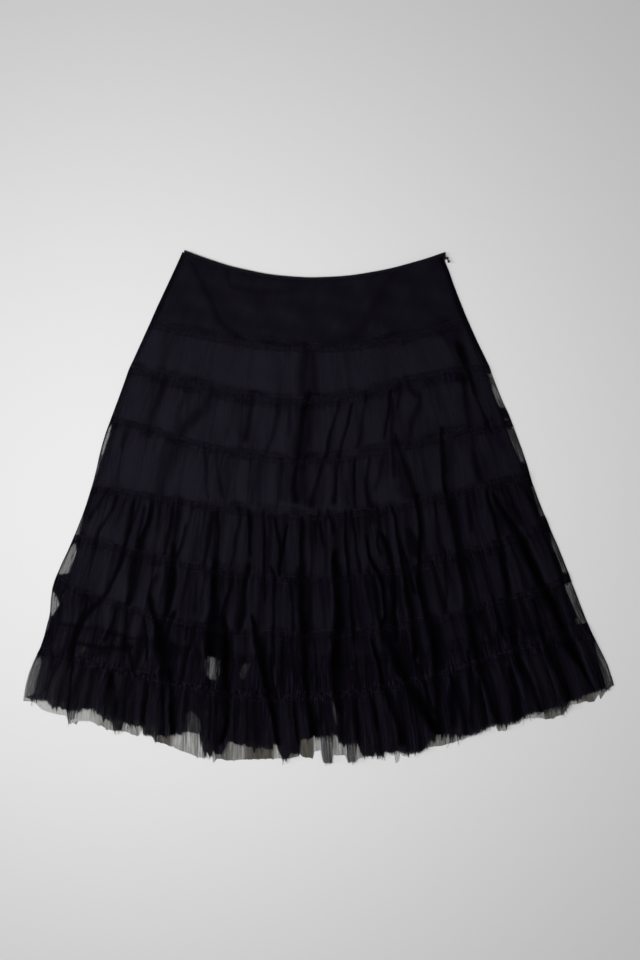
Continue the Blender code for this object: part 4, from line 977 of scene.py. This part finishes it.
def front_at(number, share, below):
    """What the front is like at these shares of a tier's width, this far below its top seam."""
    tier = TIERS[number]
    top, bottom = lines_of(tier)
    y_top, y_bottom = line_height(top, share), line_height(bottom, share)
    is_hem = tier.bottom == "hem"
    if is_hem:
        y_bottom = ragged(share, top, bottom, FRONT_HEM, seed=17, swing=0.8, tips=1.1, lowest=-359.2)
    depth = y_top - y_bottom
    v = below / depth
    left, right = side(v, top, bottom, -1), side(v, top, bottom, 1)
    if not number:
        right = right - ZIP_NOTCH * (1 - between(0.115, 0.3, v))
    x = left + (right - left) * share
    y = y_top - below + wobble(x, below, number)
    if not is_hem:
        y = y + wobble(x, below - depth, number + 1)
    from_side = np.minimum(x - left, right - x)
    inset_left = top.inset_left + (bottom.inset_left - top.inset_left) * np.clip(v, 0, 1)
    inset_right = top.inset_right + (bottom.inset_right - top.inset_right) * np.clip(v, 0, 1)
    outside = past_lining(x, v, top, bottom) - UNDERLAP
    aside = between(-1.5, 1.0, outside) * (not is_hem)
    outside = np.maximum(outside, below_lining(x, y) - UNDERLAP)
    lift = top.lift + (bottom.lift - top.lift) * np.clip(v, 0, 1)
    creased, fold, thinner = furrowed(x, y)
    inner = np.clip(from_side / EDGE_FADE, 0, 1)
    relief = np.maximum(0.0, (lift + creased) * (0.25 + 0.75 * inner))
    z = ON_LINING - (ON_LINING - ON_BACK) * between(0.0, 6.0, outside) + relief
    net = layered(share, tier.front_net) + thinner + SIDE_LAYERS[FRONT] * aside
    heading = np.zeros_like(x)
    patch = np.sin(x / 23.0 + y / 61.0) + np.sin(x / 37.0 - y / 29.0 + 1.0) + np.sin(x / 11.0 + y / 47.0 + 2.0)
    patchy = np.clip(0.75 + 0.4 * np.sin(x / 6.7 + 2 * number) + 0.35 * np.sin(x / 15.1 + number), 0.1, 1.4)
    if not is_hem:
        heading = in_heading(tier.bottom, x, depth - below)
        net = net + heading_layers(tier.bottom) * heading * patchy
    if not number:
        mottle = np.sin(x / 14.0 - y / 6.5 + 1.0) * np.sin(x / 5.0) + np.sin(y / 5.3 + x / 31)
        net = net + 0.22 * (np.sin(x / 9.0 + y / 17.0) + mottle)
    else:
        within = np.clip((x - left - inset_left) / (right - left - inset_left - inset_right), 0, 1)
        settle = 1 - between(-12.0, 0.0, below - depth) * (not is_hem)
        height, furrow, fine_pinch = gathered(number, share, below, v, within, right - left, settle)
        z = z + height
        net = net + PATCHES[number] * np.clip(0.33 * patch, -0.4, 1.0)
        # the net doubles over between the gathers, which adds layers and painted shade
        furrow = GATHERS[number] * furrow * (0.3 + 0.7 * inner)
        fold = joined(fold, joined(furrow, (0.08 + 0.045 * number) * fine_pinch))
        under = in_heading(tier.top, x, -below)
        net = net + heading_layers(tier.top) * under * patchy * between(FLAP - 1.5, FLAP + 1.0, below)
        fold = joined(fold, 0.12 * patchy * fine_pinch * under) * (0.7 + 0.3 * between(6.0, 14.0, below))
        heading = np.maximum(heading, under)
        stray = 2.2 * np.sin(x / 13.0) + 1.4 * np.sin(x / 5.1)
        beyond = between(-13.0, -4.0, below_lining(x, y, stray)) * (number == RUFFLE - 1)
        net = net + 3.6 * beyond * between(-1.0, 6.0, from_side)
        # painted highlight: the net below the underskirt's hem, past its left edge and in the ruffle is made paler
        fold = fold - 0.07 * beyond - 0.13 * aside * (x < 0) - 0.13 * is_hem
    if is_hem:
        frayed = 2.5 + 2.0 * np.sin(x / 1.3) * np.sin(x / 3.7 + 1.0) + 1.5 * np.sin(x / 17.0)
        net = net * (0.35 + 0.65 * between(0.0, frayed.clip(0.5), depth - below))
    z = 1.0 + (z - 1.0) * np.sqrt(np.clip(from_side / 4.0, 0, 1))  # down to the back's net at the sides
    gather = CREASING[number] * np.clip(0.75 + 0.22 * patch, 0.3, 1.2) * (1 - 0.6 * np.clip(fold, 0, 1))
    rim = np.exp(-((from_side / SIDE_FOLD) ** 2))
    return Spot(x, y, z, net + FOLD_LAYERS[FRONT] * fold, fold, gather, heading, rim, depth)


def front_depth(number, share):
    return front_at(number, share, np.zeros_like(share)).depth


def front_place(number):
    """What gives the x, y, z and attributes of a tier's front, at shares of its width and of the way down it."""
    start, flap = run_of(number)

    def place(share, down):
        depth = front_depth(number, share)
        below = start + down * (depth + flap - start)
        spot = front_at(number, share, below)
        if flap:
            past = below - depth
            under = front_at(number + 1, share, np.maximum(past, 0.0))
            patchy = 0.8 + 0.35 * np.sin(spot.x / 7.7 + number) + 0.25 * np.sin(spot.x / 3.1)
            dark = HEADINGS[TIERS[number].bottom].dark
            lapped = 0.1 + (0.1 + 0.6 * dark) * under.heading * patchy + 0.8 * under.fold
            over = past > 0
            spot = spot._replace(
                x=np.where(over, under.x, spot.x),
                y=np.where(over, under.y, spot.y),
                z=spot.z + (under.z + 0.35 - spot.z) * between(-9.0, 0.0, past),
                net=spot.net + (lapped - spot.net) * between(-0.5, 1.0, past),
                fold=np.where(over, under.fold, spot.fold),
                heading=np.where(over, under.heading, spot.heading),
            )
        net = opened(spot.x, spot.y, spot.net, FRONT) + RIM_LAYERS[FRONT] * spot.rim
        marks = {"layers": net, "fold": spot.fold, "gather": spot.gather, "heading": spot.heading}
        return spot.x, spot.y, spot.z, marks

    return place


for number, tier in enumerate(TIERS):
    top, bottom = lines_of(tier)
    width, depth = bottom.x_right - bottom.x_left, top.y_middle - bottom.y_middle
    cut = (width * tier.cut * MM, (depth + run_of(number)[1]) * MM)
    piece = cloth(f"{tier.name}_front_net", int(width / 1.2), int(depth / 2.2), front_place(number), cut)
    piece.data.materials.append(tulle)
    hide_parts(f"{tier.name}_front")
    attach(piece, "skirt")


# ---- The waist's binding: a dark twill tape, folded over the raw edges of yoke and underskirt, one along the front and
# one along the back, with its ends turned in.
RIB = 0.0009
twill, nodes, shader = new_material("black_twill", roughness=0.7, specular=0.03)
weave, along, across = woven(nodes)
ribs = along.math("SINE", (along + across * 1.7) * (2 * math.pi / RIB))
worn = noise(nodes, weave, (160, 420), 2.0)
shades = (0.003, 0.0026, 0.0045, 1), (0.0095, 0.0085, 0.0125, 1)
colour = mixed(nodes, (worn * 1.6 + ribs * 0.2 - 0.3).clamped(), *shades)
paint(nodes, shader, colour, ribs * 0.4 + worn, strength=0.5, distance=0.0003)


def tape(name, steps, half_width, half_height, place):
    """A flattened closed tube with turned-in ends. place gives the x, y and z of its middle line at each share of its
    length, and whether it runs down the skirt instead of across it."""
    made, along, across = grid(name, steps, 14)
    share, angle = (along + 1) / 2, (across + 1) * math.pi
    share = share - 0.14 * np.sin(2 * math.pi * share)  # more steps where the ends are turned in
    x, y, z, runs_down = place(share)
    length = np.hypot(np.ptp(x), np.ptp(y))
    end = np.sqrt(1 - np.clip(1 - np.minimum(share, 1 - share) * length / half_width, 0, 1) ** 2)
    out = half_width * end * np.cos(angle)
    x, y = (x + out, y) if runs_down else (x, y + out)
    z = z + half_height * end * np.sign(np.sin(angle)) * np.abs(np.sin(angle)) ** 0.7
    around = 4 * (half_width + half_height) * 0.85  # of such a flattened round
    lay(made.data, x, y, z, share * length * MM, (across + 1) / 2 * around * MM)
    bpy.ops.object.mode_set(mode="EDIT")
    bpy.ops.mesh.select_all(action="SELECT")
    bpy.ops.mesh.remove_doubles(threshold=0.00001)
    bpy.ops.mesh.normals_make_consistent(inside=False)
    bpy.ops.object.mode_set(mode="OBJECT")
    made.data.shade_smooth()
    return made


def waist_place(right, level):
    """What gives the middle line of the tape along the waist, from its left end to this x, at this level."""
    waist = LINES["waist"]

    def place(share):
        x = waist.x_left + share * (right - waist.x_left)
        y = line_height(waist, (x - waist.x_left) / (waist.x_right - waist.x_left)) - 2.05 + 0.12 * np.sin(x / 9.0)
        return x, y, level + 0.08 * np.sin(x / 6.1) + 0.06 * np.sin(x / 2.7), False

    return place


for name, right, level, half_height in (("front", 174.0, 4.4, 1.5), ("back", 176.4, 1.3, 1.15)):
    piece = tape(f"waist_tape_{name}", 220, half_width=2.1, half_height=half_height, place=waist_place(right, level))
    piece.data.materials.append(twill)
    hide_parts(f"waist_binding_{name}")
    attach(piece, "skirt")


# ---- The zip in the side seam: the woven edge of its tape with the coil beside it, which go down under the net, and
# its painted metal slider and pull.
def zip_place(share):
    return np.full_like(share, 175.2), 357.0 - 11.0 * share, np.full_like(share, 3.5), True


piece = tape("zip_tape_edge", steps=30, half_width=0.85, half_height=0.6, place=zip_place)
bpy.ops.mesh.primitive_torus_add(
    location=(0.1764, 0.3562, 0.0035), rotation=(math.pi / 2, 0, 0), major_segments=10, minor_segments=5,
    major_radius=0.0006, minor_radius=0.0002,
)
coil = bpy.context.object
turns = coil.modifiers.new("Turns", "ARRAY")
turns.count = 12
turns.use_relative_offset = False
turns.use_constant_offset = True
turns.constant_offset_displace = (0, 0, 0.0008)
bpy.ops.object.modifier_apply(modifier=turns.name)
piece.select_set(True)
bpy.context.view_layer.objects.active = piece
bpy.ops.object.join()
piece.data.materials.clear()
piece.data.materials.append(twill)
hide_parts("zip_tape")
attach(piece, "skirt")

zip_paint, nodes, shader = new_material("zip_paint", roughness=0.42, specular=0.35)
spot = nodes.node("ShaderNodeTexCoord", output=3)  # its Object output
specks, rubbed = noise(nodes, spot, 2600.0, 3.0), noise(nodes, spot, 700.0, 4.0)
colour = mixed(nodes, (rubbed * 4.0 - 2.2).clamped(), (0.0075, 0.0075, 0.009, 1), (0.05, 0.048, 0.046, 1))
paint(nodes, shader, colour, specks, strength=0.25, distance=0.00005, Roughness=specks * 0.35 + 0.25)
for name in ("zip_slider", "zip_pull"):
    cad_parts[name].material_slots[0].material = zip_paint


# ---- The sewing: two rows of stitches along each seam's gathered heading, and one under the waist's binding. They show
# here and there, and not where the net round them lies folded. Its thread is painted paler in places, a painted
# sheen.
sewing, nodes, shader = new_material("black_sewing_thread", roughness=0.6, specular=0.1)
twist_and_sheen = noise(nodes, nodes.node("ShaderNodeTexCoord", output=3), 260.0, 3.0)
# painted sheen: the noise lightens the thread's colour in streaks along it
colour = mixed(nodes, (twist_and_sheen * 2.6 - 0.9).clamped(), (0.006, 0.0055, 0.008, 1), (0.028, 0.0255, 0.035, 1))
paint(nodes, shader, colour, twist_and_sheen, strength=0.3, distance=0.0001)


def stretched(name, starts, ends, thick):
    """One mesh of copies of the shape that was just made, each stretched from its start to its end."""
    shape = bpy.context.object
    points = np.empty(len(shape.data.vertices) * 3)
    shape.data.vertices.foreach_get("co", points)
    across, up, along = points.reshape(-1, 3, 1).transpose(1, 0, 2)
    along = (along - along.min()) / np.ptp(along)
    run = (ends - starts)[:, None]
    out = np.cross(run, (0.0, 0.0, 1.0))
    out /= np.linalg.norm(out, axis=2, keepdims=True)
    rise = np.cross(run, out)
    rise /= np.linalg.norm(rise, axis=2, keepdims=True)
    spots = starts[:, None] + along * run + (across * out + up * rise) * np.reshape(thick, (-1, 1, 1))
    faces = [
        [corner + copy * len(along) for corner in face.vertices]
        for copy in range(len(starts)) for face in shape.data.polygons
    ]
    old, shape.data = shape.data, bpy.data.meshes.new(name)
    shape.data.from_pydata((spots * MM).reshape(-1, 3).tolist(), [], faces)
    bpy.data.meshes.remove(old)
    shape.name = name
    return shape


def on_piece(number, share, below):
    """The spot on one piece of the front, this far below its top line."""
    start, flap = run_of(number)
    return front_place(number)(share, (below - start) / (front_depth(number, share) + flap - start))


def on_front(number, share, below):
    """The spot on the front, this far below a tier's top seam, or on the piece above where that is lapped over it."""
    own = on_piece(number, share, below)
    if not number:
        return own
    above = on_piece(number - 1, share, front_depth(number - 1, share) + below)
    lapped = below < FLAP - 0.3
    mix = [np.where(lapped, first, second) for first, second in zip(above[:3], own[:3])]
    return *mix, {mark: np.where(lapped, above[3][mark], own[3][mark]) for mark in own[3]}


STITCH = 3.0  # from one stitch to the next


def stitch_rows(place_on, rows, gap, chance, share_seen):
    """Where each stitch of some rows starts and ends. rows gives a tier's number and a function from x to how far below
    its top seam a row runs. A share of the runs of stitches is seen, and none that lie in a fold."""
    starts, ends = [], []
    for number, row in rows:
        line = LINES[TIERS[number].top]
        width = line.x_right - line.x_left
        count = int(width / STITCH)
        share = (np.arange(count) + 0.5 + chance.uniform(-0.12, 0.12, count)) / count
        x = line.x_left + width * share
        seen = chance.random(int(width / 18) + 2)[(np.arange(count) / 6).astype(int)] < share_seen
        seen &= chance.random(count) < 0.9
        points = []
        stray = chance.uniform(-0.5, 0.5, count) + 0.8 * np.sin(x / 7.9 + number)
        tilt = chance.uniform(-0.45, 0.45, count)
        for way in (-1.0, 1.0):
            here = x + way
            below = row(here) + stray + way * tilt
            points.append(place_on(number, np.clip((here - line.x_left) / width, 0.002, 0.998), below))
        seen &= points[0][3]["fold"] < 0.45
        for group, point in zip((starts, ends), points):
            group.append(np.stack([point[0], point[1], point[2] + gap], 1)[seen])
    return np.concatenate(starts), np.concatenate(ends)


def level_row(below):
    return lambda x: np.full_like(x, below)


def heading_row(seam, edge, inset):
    """A row just inside the upper or lower edge, 1 or 2, of a seam's gathered heading."""
    places = np.array(HEADINGS[seam].places, float)
    return lambda x: inset - np.interp(x, places[:, 0], places[:, edge])


rows = [(0, level_row(5.0))]
for number, tier in enumerate(TIERS[1:], 1):
    rows += [(number, heading_row(tier.top, 1, 3.0)), (number, heading_row(tier.top, 2, -2.5))]
starts, ends = stitch_rows(on_front, rows, gap=0.25, chance=np.random.default_rng(81), share_seen=0.62)
bpy.ops.mesh.primitive_uv_sphere_add(segments=4, ring_count=2)
piece = stretched("seam_stitches_front", starts, ends, 0.3)
piece.data.materials.append(sewing)
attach(piece, "skirt")


def on_back(number, share, below):
    """The spot on the back, this far below a tier's top seam."""
    top, bottom = lines_of(TIERS[number], at_back=True)
    depth = line_height(top, share) - line_height(bottom, share)
    start, flap = run_of(number)
    return back_place(number)(share, (below - start) / (depth + flap - start))


rows = [(0, level_row(5.0))]
for number in range(1, RUFFLE + 1):
    rows += [(number, level_row(2.0)), (number, level_row(8.0))]
starts, ends = stitch_rows(on_back, rows, gap=-0.25, chance=np.random.default_rng(82), share_seen=0.9)
starts[:, 2], ends[:, 2] = np.maximum(starts[:, 2], 0.3), np.maximum(ends[:, 2], 0.3)  # off the floor
bpy.ops.mesh.primitive_uv_sphere_add(segments=4, ring_count=2)
piece = stretched("seam_stitches_back", starts, ends, 0.22)
piece.data.materials.append(sewing)
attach(piece, "skirt")


# ---- Loose threads at the front's raw hem, single and in tufts, where the net is frayed. They hang down over the
# back's net and the floor.
HEM_LEFT, HEM_WIDTH = -412.0, 824.5
TUFTS = (  # from where to where along the hem, how many, and how long at most
    (-405, 400, 120, 5.0), (149, 196, 45, 11.0), (233, 264, 24, 9.0), (285, 350, 45, 11.0), (314, 350, 30, 14.0),
    (51, 113, 28, 8.0), (-165, -148, 12, 8.0), (-25, 2, 8, 7.0), (-352, -334, 6, 9.0), (-300, -230, 16, 8.0),
)
chance = np.random.default_rng(93)
x = np.concatenate([chance.uniform(low, high, count) for low, high, count, _ in TUFTS])
length = np.concatenate([chance.uniform(0.3, 1.0, count) * longest for *_, count, longest in TUFTS])
base = front_place(RUFFLE)(np.clip((x - HEM_LEFT) / HEM_WIDTH, 0.003, 0.997), np.full_like(x, 0.988))
starts = np.stack([base[0], base[1], np.maximum(base[2] * 0.7, 0.6)], 1)
lean = chance.normal(0, 0.22, len(x)) + x / 1500
ends = np.stack([base[0] + length * lean, base[1] - 1.5 - length, np.full_like(x, 0.45)], 1)
bpy.ops.mesh.primitive_cone_add(vertices=3, radius1=1, radius2=0.25, depth=1, end_fill_type="TRIFAN")
piece = stretched("hem_threads_front", starts, ends, chance.uniform(0.22, 0.45, len(x)))
piece.data.materials.append(sewing)
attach(piece, "skirt")
